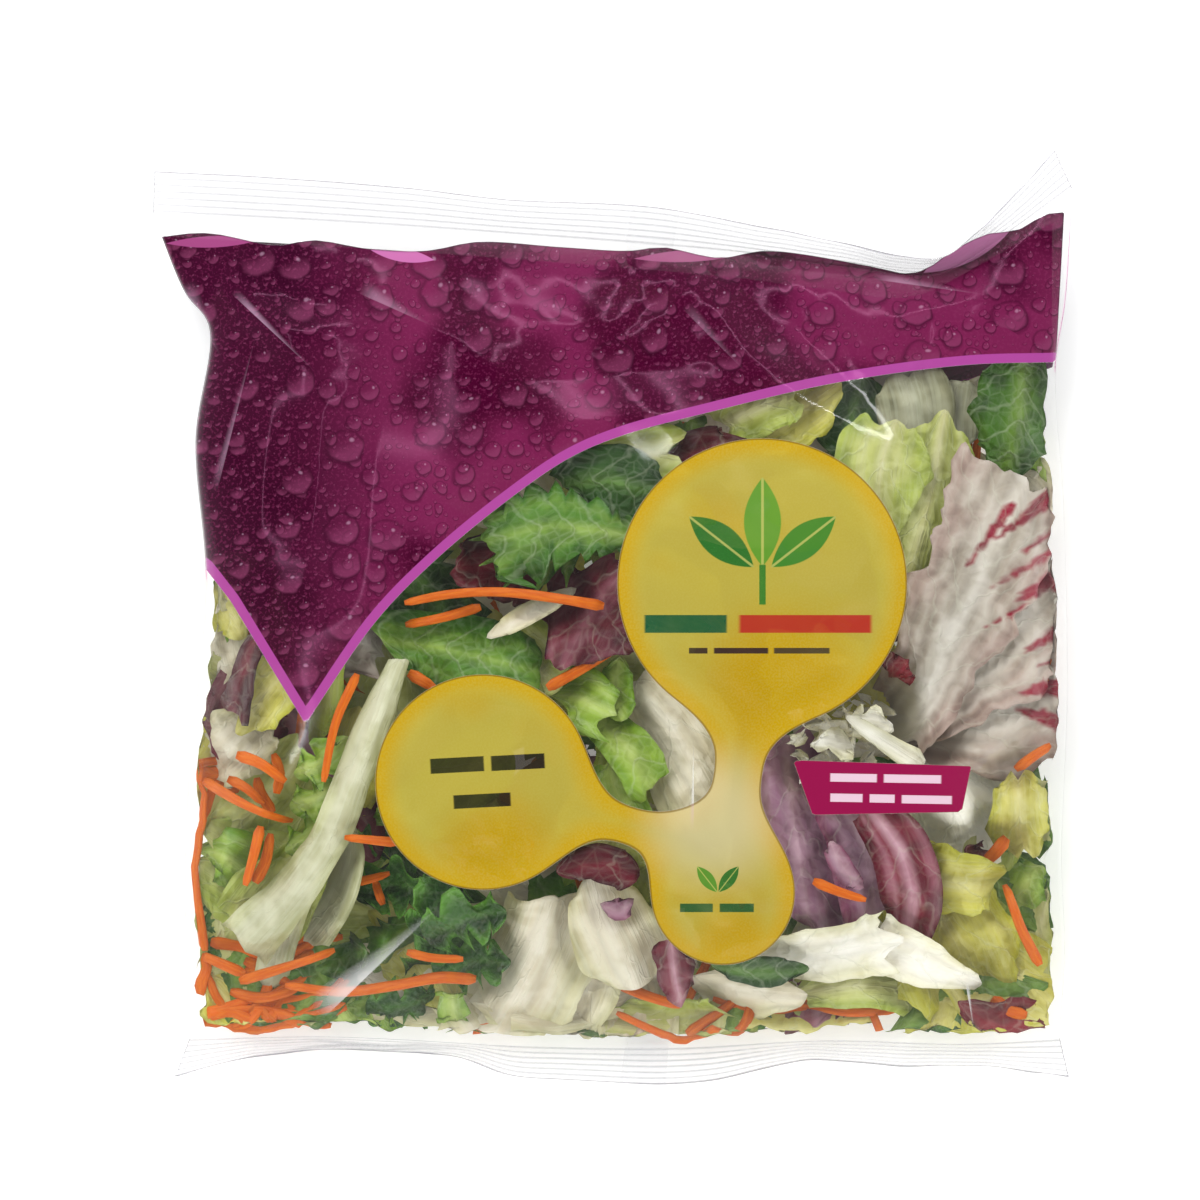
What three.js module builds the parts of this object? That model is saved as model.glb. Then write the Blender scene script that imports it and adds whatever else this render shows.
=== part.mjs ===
// A sealed pillow bag of mixed salad leaves, lying on its back with the printed front up.
// Millimetres. +Z up, +Y towards the top seal, +X to the right as the print is seen.
// The film is one tube, crimped flat across its top and bottom ends and closed by a fin seam
// down its back. It is built as one lofted solid: a middle surface carried by six guide curves,
// with the front of the bag raised above it and the back dropped below it.
import * as THREE from "three";

// Driving sizes
const FLOOR_Z = 0;
const SEAL_HALF_THICKNESS = 0.6;
const FRONT_RISE = 27;
const BACK_DROP = 24.5;
const SEAM_PROUD = 0.8;
// Where the back seam runs, from -1 at the left side fold to 1 at the right, and its step's width
const SEAM_FROM = 0.0;
const SEAM_TO = 0.11;
const SEAM_STEP = 0.006;

// How finely the loft is sampled
const SPANS_ACROSS = 46;
const SPANS_ALONG = 36;
const SPANS_IN_SEAL = 3;
// How far the samples crowd towards the side folds, and towards the two seals
const CROWD_ACROSS = 0.45;
const CROWD_ALONG = 0.4;
// Step across a seal that gives its direction
const SEAL_REACH = 0.01;

// Guide curves, left to right, then bottom to top: x, y and height of the middle of the film.
// The outer edge of a seal is free, so it curls, dips and lifts. The inner line is where the
// two layers part.
const TOP_EDGE = [
  [-129, 126, 12],
  [-101, 124.5, 14],
  [-59, 121.5, 12],
  [-30, 118, 14],
  [9, 116, 15],
  [37, 111, 19],
  [61, 105.5, 22],
  [80, 101.5, 24],
  [92, 100.5, 25],
  [103, 109, 24],
  [114, 120.5, 20],
  [124.5, 131.7, 16],
];
const TOP_LINE = [
  [-129.5, 114, 12],
  [-59, 110, 13],
  [9, 105, 13],
  [38, 102.5, 13],
  [66, 99, 13],
  [91, 97, 14],
  [108, 106, 15],
  [129.5, 121, 14],
];
const BOTTOM_LINE = [
  [-119, -118, 13],
  [-79, -117.5, 14],
  [-28, -120, 13],
  [15, -120.5, 13],
  [61, -118.5, 14],
  [100, -119.5, 13],
  [126, -118, 13],
];
const BOTTOM_EDGE = [
  [-123.5, -129.5, 9],
  [-101, -124.5, 4],
  [-79, -122, 3],
  [-46, -124.5, 3.5],
  [-29, -129, 7],
  [-3, -131, 9],
  [15, -131.5, 9],
  [29, -130.5, 8],
  [47, -127, 5],
  [61, -125, 4],
  [84, -127, 5],
  [108, -127, 5],
  [129, -129.5, 8],
];
const LEFT_SIDE = [
  [-119, -118, 13],
  [-120, -79, 19],
  [-119, -48, 21],
  [-114, 10, 21],
  [-117, 50, 19],
  [-113.5, 82, 15],
  [-120.5, 92, 13],
  [-129.5, 114, 12],
];
const RIGHT_SIDE = [
  [126, -118, 13],
  [127, -93, 18],
  [126, -67, 20],
  [127.5, -20, 21],
  [126.5, 33, 20],
  [124.5, 70, 17],
  [127.5, 90, 15],
  [129.5, 121, 14],
];

// How full the bag is from its bottom seal (0) to its top seal (1). The leaves have settled,
// so the bottom end is fat and the headspace at the top is slack.
const FULLNESS = [
  [0, 0],
  [0.03, 0.3],
  [0.08, 0.58],
  [0.16, 0.83],
  [0.28, 0.97],
  [0.42, 1],
  [0.58, 0.95],
  [0.72, 0.8],
  [0.84, 0.6],
  [0.93, 0.38],
  [0.975, 0.2],
  [1, 0],
];
// The cross-section is a flattened oval: (1 - |x| ** power) ** root
const SECTION_POWER = 2.7;
const SECTION_ROOT = 0.52;
// The front shows its bumps and folds in full where it is this full
const RELIEF_FULLNESS = 0.625;

// Bumps where leaves push at the front, spread by two irrational steps
const BUMP_COUNT = 26;
const BUMP_STEP_X = 0.7548777;
const BUMP_STEP_Y = 0.5698403;
const BUMP_SPREAD_X = 220;
const BUMP_SPREAD_Y = 210;
const BUMP_CENTRE_Y = -12;
const BUMP_RADIUS = 17;
const BUMP_HEIGHT = 2.6;
// Every third bump is a hollow, this deep beside the height of a bump
const HOLLOW_EVERY = 3;
const HOLLOW_DEPTH = 0.7;

// Folds of the slack front film: from and to in plan, half width and height of the ridge. At its
// ends a fold keeps this share of its height.
const FOLD_END_SHARE = 0.35;
const FOLDS = [
  { from: [-106, 96], to: [-81, 67], halfWidth: 8, height: 4.5 },
  { from: [-112, 84], to: [-76, 78], halfWidth: 9, height: 3.5 },
  { from: [-80, 66], to: [-84, 12], halfWidth: 15, height: -5 },
  { from: [-66, 92], to: [-28, 66], halfWidth: 12, height: 3.5 },
  { from: [-28, 66], to: [30, 72], halfWidth: 14, height: -3.5 },
  { from: [18, 100], to: [44, 66], halfWidth: 10, height: 4 },
  { from: [44, 90], to: [70, 60], halfWidth: 13, height: -3.5 },
  { from: [76, 84], to: [118, 92], halfWidth: 10, height: 3.5 },
  { from: [-88, -112], to: [-44, -74], halfWidth: 7, height: 3.5 },
  { from: [22, -28], to: [22, -60], halfWidth: 6, height: 2 },
  { from: [98, -92], to: [106, -119], halfWidth: 7, height: 3 },
  { from: [-10, -112], to: [4, -92], halfWidth: 9, height: 2.5 },
];

const guide = (points) => new THREE.CatmullRomCurve3(points.map((p) => new THREE.Vector3(...p)));
const topEdge = guide(TOP_EDGE);
const topLine = guide(TOP_LINE);
const bottomLine = guide(BOTTOM_LINE);
const bottomEdge = guide(BOTTOM_EDGE);
const leftSide = guide(LEFT_SIDE);
const rightSide = guide(RIGHT_SIDE);

const fraction = (value) => value - Math.floor(value);

// Smooth curve through a table of [position, value]
function smoothTable(table, at) {
  let i = 0;
  while (i < table.length - 2 && at > table[i + 1][0]) i += 1;
  const slope = (a, b) => (table[b][1] - table[a][1]) / (table[b][0] - table[a][0]);
  const width = table[i + 1][0] - table[i][0];
  const startSlope = slope(Math.max(i - 1, 0), i + 1) * width;
  const endSlope = slope(i, Math.min(i + 2, table.length - 1)) * width;
  const s = (at - table[i][0]) / width;
  const rise = table[i + 1][1] - table[i][1];
  return (
    table[i][1] +
    startSlope * s * (1 - s) * (1 - s) +
    rise * s * s * (3 - 2 * s) -
    endSlope * s * s * (1 - s)
  );
}

// Point of the middle surface in the body: a Coons patch between the two inner seal lines and
// the two side folds. across and along run from 0 to 1.
function bodyMiddle(across, along) {
  const low = bottomLine.getPointAt(across);
  const high = topLine.getPointAt(across);
  const left = leftSide.getPointAt(along);
  const right = rightSide.getPointAt(along);
  const corner = (side, end) => side.getPointAt(end);
  const point = new THREE.Vector3();
  point.addScaledVector(low, 1 - along).addScaledVector(high, along);
  point.addScaledVector(left, 1 - across).addScaledVector(right, across);
  point.addScaledVector(corner(leftSide, 0), -(1 - across) * (1 - along));
  point.addScaledVector(corner(rightSide, 0), -across * (1 - along));
  point.addScaledVector(corner(leftSide, 1), -(1 - across) * along);
  point.addScaledVector(corner(rightSide, 1), -across * along);
  return point;
}

// Cross-section of the filled bag: full in the middle, round at the side folds
const section = (across) => (1 - Math.abs(2 * across - 1) ** SECTION_POWER) ** SECTION_ROOT;

function bumpHeight(x, y) {
  let height = 0;
  for (let i = 1; i <= BUMP_COUNT; i += 1) {
    const bumpX = (fraction(i * BUMP_STEP_X) - 0.5) * BUMP_SPREAD_X;
    const bumpY = (fraction(i * BUMP_STEP_Y) - 0.5) * BUMP_SPREAD_Y + BUMP_CENTRE_Y;
    const squared = ((x - bumpX) ** 2 + (y - bumpY) ** 2) / (2 * BUMP_RADIUS ** 2);
    const strength = i % HOLLOW_EVERY === 0 ? -HOLLOW_DEPTH : 1;
    height += BUMP_HEIGHT * strength * Math.exp(-squared);
  }
  return height;
}

// A tent-shaped ridge that fades out towards both ends of its line
function foldHeight(x, y, fold) {
  const [x0, y0] = fold.from;
  const [x1, y1] = fold.to;
  const lengthSquared = (x1 - x0) ** 2 + (y1 - y0) ** 2;
  const projected = ((x - x0) * (x1 - x0) + (y - y0) * (y1 - y0)) / lengthSquared;
  const along = THREE.MathUtils.clamp(projected, 0, 1);
  const distance = Math.hypot(x - x0 - along * (x1 - x0), y - y0 - along * (y1 - y0));
  const lengthwise = FOLD_END_SHARE + (1 - FOLD_END_SHARE) * Math.sin(Math.PI * along);
  return fold.height * Math.max(0, 1 - distance / fold.halfWidth) * lengthwise;
}

function relief(x, y) {
  return FOLDS.reduce((height, fold) => height + foldHeight(x, y, fold), bumpHeight(x, y));
}

// Front and back surface of the body at one place
function bodyPoint(across, along, isFront) {
  const point = bodyMiddle(across, along);
  const fullness = smoothTable(FULLNESS, along) * section(across);
  if (isFront) {
    const shown = Math.min(1, fullness / RELIEF_FULLNESS);
    point.z += SEAL_HALF_THICKNESS + FRONT_RISE * fullness + relief(point.x, point.y) * shown;
  } else {
    const centre = 2 * across - 1;
    const seam = centre >= SEAM_FROM && centre <= SEAM_TO ? SEAM_PROUD : 0;
    point.z = Math.max(FLOOR_Z, point.z - SEAL_HALF_THICKNESS - BACK_DROP * fullness - seam);
  }
  return point;
}

// A seal is two layers pressed flat between its inner line and its outer edge. share runs from
// the inner line (0) to the edge (1).
function sealPoint(line, edge, across, share, isFront) {
  const middle = (a) => line.getPointAt(a).lerp(edge.getPointAt(a), share);
  const sideways = middle(Math.min(1, across + SEAL_REACH)).sub(middle(Math.max(0, across - SEAL_REACH)));
  const outwards = edge.getPointAt(across).sub(line.getPointAt(across));
  const normal = new THREE.Vector3().crossVectors(sideways, outwards).normalize();
  if (line === bottomLine) normal.negate();
  normal.lerp(new THREE.Vector3(0, 0, 1), 1 - share).normalize();
  return middle(across).addScaledVector(normal, isFront ? SEAL_HALF_THICKNESS : -SEAL_HALF_THICKNESS);
}

// Spreads s, from -1 to 1, so that it crowds towards both ends
const crowd = (s, share) => (1 - share) * s + share * Math.sin((Math.PI / 2) * s);

// Places across the back, closer together at the side folds, with both edges of the seam
function placesAcrossBack() {
  const places = [];
  for (let i = 0; i <= SPANS_ACROSS; i += 1) {
    const centre = crowd((2 * i) / SPANS_ACROSS - 1, CROWD_ACROSS);
    const clear = centre < SEAM_FROM - 2 * SEAM_STEP || centre > SEAM_TO + 2 * SEAM_STEP;
    if (clear) places.push((centre + 1) / 2);
  }
  const seamMiddle = (SEAM_FROM + SEAM_TO) / 2;
  for (const centre of [SEAM_FROM - SEAM_STEP, SEAM_FROM, seamMiddle, SEAM_TO, SEAM_TO + SEAM_STEP]) {
    places.push((centre + 1) / 2);
  }
  return places.sort((a, b) => a - b);
}

// As many places across the front, without the seam
function placesAcrossFront(count) {
  const place = (i) => (crowd((2 * i) / (count - 1) - 1, CROWD_ACROSS) + 1) / 2;
  return Array.from({ length: count }, (_, i) => place(i));
}

// Stations from the bottom edge to the top edge: each gives a point for a place across
function stations() {
  const list = [];
  for (let i = 0; i < SPANS_IN_SEAL; i += 1) {
    const share = 1 - i / SPANS_IN_SEAL;
    list.push((across, isFront) => sealPoint(bottomLine, bottomEdge, across, share, isFront));
  }
  for (let i = 0; i <= SPANS_ALONG; i += 1) {
    const along = (crowd((2 * i) / SPANS_ALONG - 1, CROWD_ALONG) + 1) / 2;
    list.push((across, isFront) => bodyPoint(across, along, isFront));
  }
  for (let i = 1; i <= SPANS_IN_SEAL; i += 1) {
    const share = i / SPANS_IN_SEAL;
    list.push((across, isFront) => sealPoint(topLine, topEdge, across, share, isFront));
  }
  return list;
}

// Rings of points round the bag, joined from station to station and closed at both edges
function bagGeometry() {
  const backPlaces = placesAcrossBack();
  const frontPlaces = placesAcrossFront(backPlaces.length);
  const last = backPlaces.length - 1;
  const ringSize = 2 * last;
  const positions = [];
  for (const pointAt of stations()) {
    for (let i = 0; i <= last; i += 1) {
      const front = pointAt(frontPlaces[i], true);
      const onFold = i === 0 || i === last;
      if (onFold) front.lerp(pointAt(backPlaces[i], false), 0.5);
      positions.push(front.x, front.y, front.z);
    }
    for (let i = last - 1; i >= 1; i -= 1) {
      const back = pointAt(backPlaces[i], false);
      positions.push(back.x, back.y, back.z);
    }
  }
  const ringCount = positions.length / 3 / ringSize;
  const index = [];
  for (let ring = 0; ring < ringCount - 1; ring += 1) {
    for (let i = 0; i < ringSize; i += 1) {
      const a = ring * ringSize + i;
      const b = ring * ringSize + ((i + 1) % ringSize);
      index.push(a, b, b + ringSize, a, b + ringSize, a + ringSize);
    }
  }
  const closeEdge = (start, flipped) => {
    for (let i = 0; i < last; i += 1) {
      const front = [start + i, start + i + 1];
      const back = [start + ((ringSize - i) % ringSize), start + ringSize - i - 1];
      const corners = [
        [front[0], back[1], front[1]],
        [front[0], back[0], back[1]],
      ];
      for (const [p, q, r] of corners) {
        if (p !== q && q !== r && r !== p) index.push(...(flipped ? [p, r, q] : [p, q, r]));
      }
    }
  };
  closeEdge(0, false);
  closeEdge((ringCount - 1) * ringSize, true);
  const geometry = new THREE.BufferGeometry();
  geometry.setAttribute("position", new THREE.Float32BufferAttribute(positions, 3));
  geometry.setIndex(index);
  geometry.computeVertexNormals();
  return geometry;
}

const film = new THREE.MeshStandardMaterial({
  color: 0x9c3f78,
  roughness: 0.25,
  metalness: 0,
  transparent: true,
  opacity: 0.6,
});

const bag = new THREE.Mesh(bagGeometry(), film);
bag.name = "bag";

const group = new THREE.Group();
group.add(bag);

export default group;
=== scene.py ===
# A sealed clear bag of mixed salad leaves, lying on its back with the printed front up.
# Sizes and places are millimetres in the part's frame, turned to metres when a mesh is made:
# +X to the right as the print is seen, +Y towards the top seal, +Z up.
import math
import random

import bpy
import numpy as np
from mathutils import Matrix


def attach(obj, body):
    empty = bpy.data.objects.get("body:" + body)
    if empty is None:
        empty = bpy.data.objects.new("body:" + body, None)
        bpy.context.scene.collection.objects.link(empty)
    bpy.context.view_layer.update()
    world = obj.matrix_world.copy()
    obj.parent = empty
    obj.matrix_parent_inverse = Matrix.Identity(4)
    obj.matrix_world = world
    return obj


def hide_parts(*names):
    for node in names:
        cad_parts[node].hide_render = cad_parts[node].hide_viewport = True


MM = 0.001
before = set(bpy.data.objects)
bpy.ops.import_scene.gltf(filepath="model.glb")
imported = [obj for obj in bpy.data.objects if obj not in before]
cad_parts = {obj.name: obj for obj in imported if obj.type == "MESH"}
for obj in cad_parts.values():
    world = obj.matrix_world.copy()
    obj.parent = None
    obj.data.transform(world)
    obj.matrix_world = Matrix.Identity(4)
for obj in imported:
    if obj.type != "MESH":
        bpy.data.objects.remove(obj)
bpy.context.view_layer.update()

# The bag's form, as in the part's source
FRONT_RISE = 27
BACK_DROP = 24.5
TOP_EDGE = [
    (-129, 126, 12), (-101, 124.5, 14), (-59, 121.5, 12), (-30, 118, 14), (9, 116, 15), (37, 111, 19),
    (61, 105.5, 22), (80, 101.5, 24), (92, 100.5, 25), (103, 109, 24), (114, 120.5, 20), (124.5, 131.7, 16),
]
TOP_LINE = [
    (-129.5, 114, 12), (-59, 110, 13), (9, 105, 13), (38, 102.5, 13), (66, 99, 13), (91, 97, 14),
    (108, 106, 15), (129.5, 121, 14),
]
BOTTOM_LINE = [
    (-119, -118, 13), (-79, -117.5, 14), (-28, -120, 13), (15, -120.5, 13), (61, -118.5, 14),
    (100, -119.5, 13), (126, -118, 13),
]
BOTTOM_EDGE = [
    (-123.5, -129.5, 9), (-101, -124.5, 4), (-79, -122, 3), (-46, -124.5, 3.5), (-29, -129, 7),
    (-3, -131, 9), (15, -131.5, 9), (29, -130.5, 8), (47, -127, 5), (61, -125, 4), (84, -127, 5),
    (108, -127, 5), (129, -129.5, 8),
]
LEFT_SIDE = [
    (-119, -118, 13), (-120, -79, 19), (-119, -48, 21), (-114, 10, 21), (-117, 50, 19), (-113.5, 82, 15),
    (-120.5, 92, 13), (-129.5, 114, 12),
]
RIGHT_SIDE = [
    (126, -118, 13), (127, -93, 18), (126, -67, 20), (127.5, -20, 21), (126.5, 33, 20), (124.5, 70, 17),
    (127.5, 90, 15), (129.5, 121, 14),
]
FULLNESS = [
    (0, 0), (0.03, 0.3), (0.08, 0.58), (0.16, 0.83), (0.28, 0.97), (0.42, 1), (0.58, 0.95), (0.72, 0.8),
    (0.84, 0.6), (0.93, 0.38), (0.975, 0.2), (1, 0),
]
SECTION_POWER = 2.7
SECTION_ROOT = 0.52
RELIEF_FULLNESS = 0.625
BUMP_COUNT = 26
BUMP_STEP_X = 0.7548777
BUMP_STEP_Y = 0.5698403
BUMP_SPREAD_X = 220
BUMP_SPREAD_Y = 210
BUMP_CENTRE_Y = -12
BUMP_RADIUS = 17
BUMP_HEIGHT = 2.6
HOLLOW_EVERY = 3
HOLLOW_DEPTH = 0.7
CROWD_ACROSS = 0.45
CROWD_ALONG = 0.4
FOLD_END_SHARE = 0.35
# from x, from y, to x, to y, half width, height
FOLDS = [
    (-106, 96, -81, 67, 8, 4.5),
    (-112, 84, -76, 78, 9, 3.5),
    (-80, 66, -84, 12, 15, -5),
    (-66, 92, -28, 66, 12, 3.5),
    (-28, 66, 30, 72, 14, -3.5),
    (18, 100, 44, 66, 10, 4),
    (44, 90, 70, 60, 13, -3.5),
    (76, 84, 118, 92, 10, 3.5),
    (-88, -112, -44, -74, 7, 3.5),
    (22, -28, 22, -60, 6, 2),
    (98, -92, 106, -119, 7, 3),
    (-10, -112, 4, -92, 9, 2.5),
]

# How finely the film is made, and what only the film has
FILM_SPANS_ACROSS = 200
FILM_SPANS_ALONG = 190
FILM_SPANS_IN_SEAL = 26
FILM_LAYER_GAP = 0.12
CRIMP_PITCH = 1.05
CRIMP_HEIGHT = 0.16
UNDERSIDE_GAP = 0.35
CREASE_SEED = 11
CREASE_LENGTH = 58
CREASE_GAP = 19
PLEATS = 64


# Small helpers

def smooth_step(value, low, high):
    s = np.clip((value - low) / (high - low), 0, 1)
    return s * s * (3 - 2 * s)


def scattered(x, y, seed):
    """A number from -1 to 1 for each place that looks random but is always the same."""
    hashed = np.sin(x * 127.1 + y * 311.7 + seed * 74.7) * 43758.5453
    return 2 * (hashed - np.floor(hashed)) - 1


def noise(x, y, seed=0):
    """Smooth noise from -1 to 1, with features about one unit wide."""
    xi = np.floor(x)
    yi = np.floor(y)
    u = smooth_step(x - xi, 0, 1)
    v = smooth_step(y - yi, 0, 1)
    low = scattered(xi, yi, seed) * (1 - u) + scattered(xi + 1, yi, seed) * u
    high = scattered(xi, yi + 1, seed) * (1 - u) + scattered(xi + 1, yi + 1, seed) * u
    return low * (1 - v) + high * v


def catmull_rom(points):
    """A centripetal curve through the points, as a function of the share of its length."""
    p = np.array(points, float)
    padded = np.vstack([2 * p[0] - p[1], p, 2 * p[-1] - p[-2]])

    def at(t):
        t = np.clip(t, 0, 1) * (len(p) - 1)
        i = np.minimum(t.astype(int), len(p) - 2)
        s = (t - i)[..., None]
        p0, p1, p2, p3 = (padded[i + k] for k in range(4))
        d0, d1, d2 = (np.sqrt(np.linalg.norm(b - a, axis=-1, keepdims=True))
                      for a, b in ((p0, p1), (p1, p2), (p2, p3)))
        m1 = ((p1 - p0) / d0 - (p2 - p0) / (d0 + d1) + (p2 - p1) / d1) * d1
        m2 = ((p2 - p1) / d1 - (p3 - p1) / (d1 + d2) + (p3 - p2) / d2) * d1
        return p1 + m1 * s + (3 * (p2 - p1) - 2 * m1 - m2) * s**2 + (2 * (p1 - p2) + m1 + m2) * s**3

    steps = np.linspace(0, 1, 201)
    lengths = np.concatenate([[0], np.cumsum(np.linalg.norm(np.diff(at(steps), axis=0), axis=1))])
    return lambda share: at(np.interp(share, lengths / lengths[-1], steps))


def smooth_table(table, at):
    """Smooth curve through a table of (position, value)."""
    xs = np.array([row[0] for row in table], float)
    ys = np.array([row[1] for row in table], float)
    i = np.clip(np.searchsorted(xs, at, side="left") - 1, 0, len(xs) - 2)
    before = np.maximum(i - 1, 0)
    after = np.minimum(i + 2, len(xs) - 1)
    width = xs[i + 1] - xs[i]
    start = (ys[i + 1] - ys[before]) / (xs[i + 1] - xs[before]) * width
    end = (ys[after] - ys[i]) / (xs[after] - xs[i]) * width
    s = (at - xs[i]) / width
    rise = ys[i + 1] - ys[i]
    return ys[i] + start * s * (1 - s) ** 2 + rise * s * s * (3 - 2 * s) - end * s * s * (1 - s)


def linear(red, green, blue):
    """A colour given from 0 to 255, as Blender's linear colour."""
    values = np.array((red, green, blue)) / 255
    return np.where(values <= 0.04045, values / 12.92, ((values + 0.055) / 1.055) ** 2.4)


def paint(red, green, blue):
    return tuple(linear(red, green, blue))


# The film's form

top_edge, top_line = catmull_rom(TOP_EDGE), catmull_rom(TOP_LINE)
bottom_line, bottom_edge = catmull_rom(BOTTOM_LINE), catmull_rom(BOTTOM_EDGE)
left_side, right_side = catmull_rom(LEFT_SIDE), catmull_rom(RIGHT_SIDE)


def flat_curve(spine):
    return catmull_rom([(x, y, 0) for x, y in spine])


def curve_length(path, steps):
    return np.linalg.norm(np.diff(path(np.linspace(0, 1, steps)), axis=0), axis=1).sum()


def course(path, s):
    """Places on a flat curve, with its direction and the direction to its right."""
    centre = path(s)[:, :2]
    forward = np.gradient(centre, axis=0)
    forward /= np.linalg.norm(forward, axis=1, keepdims=True)
    return centre, forward, np.column_stack([forward[:, 1], -forward[:, 0]])


def crowd(s, share):
    return (1 - share) * s + share * np.sin(math.pi / 2 * s)


def body_middle(across, along):
    """The middle surface between the seals and the side folds, rows along by columns across."""
    low, high = bottom_line(across)[None], top_line(across)[None]
    left, right = left_side(along)[:, None], right_side(along)[:, None]
    a, b = across[None, :, None], along[:, None, None]
    corners = (left[0] * (1 - a) + right[0] * a) * (1 - b) + (left[-1] * (1 - a) + right[-1] * a) * b
    return low * (1 - b) + high * b + left * (1 - a) + right * a - corners


def ridge(x, y, fold):
    """A tent-shaped ridge along a line, fading towards its ends."""
    x0, y0, x1, y1, half_width, height = fold
    length_squared = (x1 - x0) ** 2 + (y1 - y0) ** 2
    along = np.clip(((x - x0) * (x1 - x0) + (y - y0) * (y1 - y0)) / length_squared, 0, 1)
    distance = np.hypot(x - x0 - along * (x1 - x0), y - y0 - along * (y1 - y0))
    lengthwise = FOLD_END_SHARE + (1 - FOLD_END_SHARE) * np.sin(math.pi * along)
    return height * np.maximum(0, 1 - distance / half_width) * lengthwise


def bumps(x, y):
    height = np.zeros_like(x)
    for i in range(1, BUMP_COUNT + 1):
        bump_x = (i * BUMP_STEP_X % 1 - 0.5) * BUMP_SPREAD_X
        bump_y = (i * BUMP_STEP_Y % 1 - 0.5) * BUMP_SPREAD_Y + BUMP_CENTRE_Y
        strength = -HOLLOW_DEPTH if i % HOLLOW_EVERY == 0 else 1
        squared = (x - bump_x) ** 2 + (y - bump_y) ** 2
        height += BUMP_HEIGHT * strength * np.exp(-squared / (2 * BUMP_RADIUS**2))
    return height


def seal_pleats():
    """Short creases that run from both end seals into the bag."""
    draw = random.Random(CREASE_SEED)
    folds = []
    for i in range(PLEATS):
        top = i % 2 == 0
        across = np.array([(i + draw.uniform(0.1, 0.9)) / PLEATS])
        x, y = (top_line if top else bottom_line)(across)[0][:2]
        angle = draw.gauss(0, 0.45)
        length = draw.uniform(10, 44)
        inwards = -1 if top else 1
        height = draw.choice((-1, 1)) * draw.uniform(0.5, 1.5)
        end = (x + length * math.sin(angle), y + inwards * length * math.cos(angle))
        folds.append((x, y, *end, draw.uniform(2.2, 5.5), height))
    return folds


def crumple(x, y):
    """Low sharp ridges all over the film."""
    down = (0.75 * x - 0.66 * y) / CREASE_LENGTH
    beside = (0.66 * x + 0.75 * y) / CREASE_GAP
    long = 1 - 2 * np.abs(noise(beside, down, 1))
    wide = 1 - 2 * np.abs(noise(x / 34 + 3, y / 30, 7))
    fine = 1 - 2 * np.abs(noise(beside * 2.3, down * 2.3 + 5, 2))
    return 0.65 * long + 0.5 * wide + 0.09 * fine * (0.5 + 0.5 * noise(x / 40, y / 40, 4))


def film_points():
    """Rings of points round the film, from the bottom edge to the top edge."""
    across = (crowd(np.linspace(-1, 1, FILM_SPANS_ACROSS + 1), CROWD_ACROSS) + 1) / 2
    along = (crowd(np.linspace(-1, 1, FILM_SPANS_ALONG + 1), CROWD_ALONG) + 1) / 2
    middle = body_middle(across, along)
    section = (1 - np.abs(2 * across - 1) ** SECTION_POWER) ** SECTION_ROOT
    fullness = smooth_table(FULLNESS, along)[:, None] * section[None]
    x, y = middle[..., 0], middle[..., 1]
    shown = np.minimum(1, fullness / RELIEF_FULLNESS)
    relief = bumps(x, y) + crumple(x, y)
    for fold in FOLDS + seal_pleats():
        relief = relief + ridge(x, y, fold)
    front, back = middle.copy(), middle.copy()
    front[..., 2] += FILM_LAYER_GAP + FRONT_RISE * fullness + relief * shown
    back_relief = 0.5 * crumple(x + 90, y) + 0.5 * crumple(y, x)
    back[..., 2] -= FILM_LAYER_GAP + BACK_DROP * fullness + back_relief * shown
    back[..., 2] = np.maximum(back[..., 2], UNDERSIDE_GAP)
    front[..., 2] = np.maximum(front[..., 2], back[..., 2] + 2 * FILM_LAYER_GAP)
    bottom = seal_points(across, bottom_line, bottom_edge, -1)
    top = seal_points(across, top_line, top_edge, 1)
    front = np.concatenate([bottom[0][::-1], front, top[0]])
    back = np.concatenate([bottom[1][::-1], back, top[1]])
    return front, back


def seal_points(across, line, edge, side):
    """Both layers of an end seal, from its inner line to its outer edge, crimped in fine ribs."""
    share = np.linspace(0, 1, FILM_SPANS_IN_SEAL + 1)[1:, None, None]
    inner, outer = line(across), edge(across)
    width = np.linalg.norm(outer - inner, axis=1)[None, :, None]
    points = inner * (1 - share) + outer * share
    sideways = np.gradient(points, axis=1)
    normal = side * np.cross(sideways, np.broadcast_to(outer - inner, points.shape))
    normal /= np.linalg.norm(normal, axis=2, keepdims=True)
    upright = np.clip(1 - share * 2, 0, 1)
    normal = normal * (1 - upright) + np.array((0, 0, 1)) * upright
    ribs = CRIMP_HEIGHT * np.sin(share * width / CRIMP_PITCH * math.tau) * np.minimum(1, share * 6)
    x, y = points[..., 0:1], points[..., 1:2]
    ripple = 0.7 * noise(x / 13, y / 40, 8) * np.minimum(1, share * 3)
    gap = FILM_LAYER_GAP
    return points + normal * (ribs + ripple + gap), points + normal * (ribs + ripple - gap)


# Meshes

def new_object(name, verts, faces, material, uv, tint=None, values=None):
    """A smooth mesh object from points in millimetres."""
    mesh = bpy.data.meshes.new(name)
    mesh.from_pydata((np.asarray(verts) * MM).tolist(), [], faces)
    mesh.shade_smooth()
    corners = np.empty(len(mesh.loops), int)
    mesh.loops.foreach_get("vertex_index", corners)
    layer = mesh.uv_layers.new(name="print")
    layer.data.foreach_set("uv", np.asarray(uv, float)[corners].ravel())
    if tint is not None:
        colour = mesh.color_attributes.new("tint", "FLOAT_COLOR", "POINT")
        colour.data.foreach_set("color", np.column_stack([tint, np.ones(len(tint))]).ravel())
    for key, numbers in (values or {}).items():
        attribute = mesh.attributes.new(key, "FLOAT", "POINT")
        attribute.data.foreach_set("value", np.asarray(numbers, float).ravel())
    mesh.materials.append(material)
    made = bpy.data.objects.new(name, mesh)
    bpy.context.scene.collection.objects.link(made)
    return made


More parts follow.
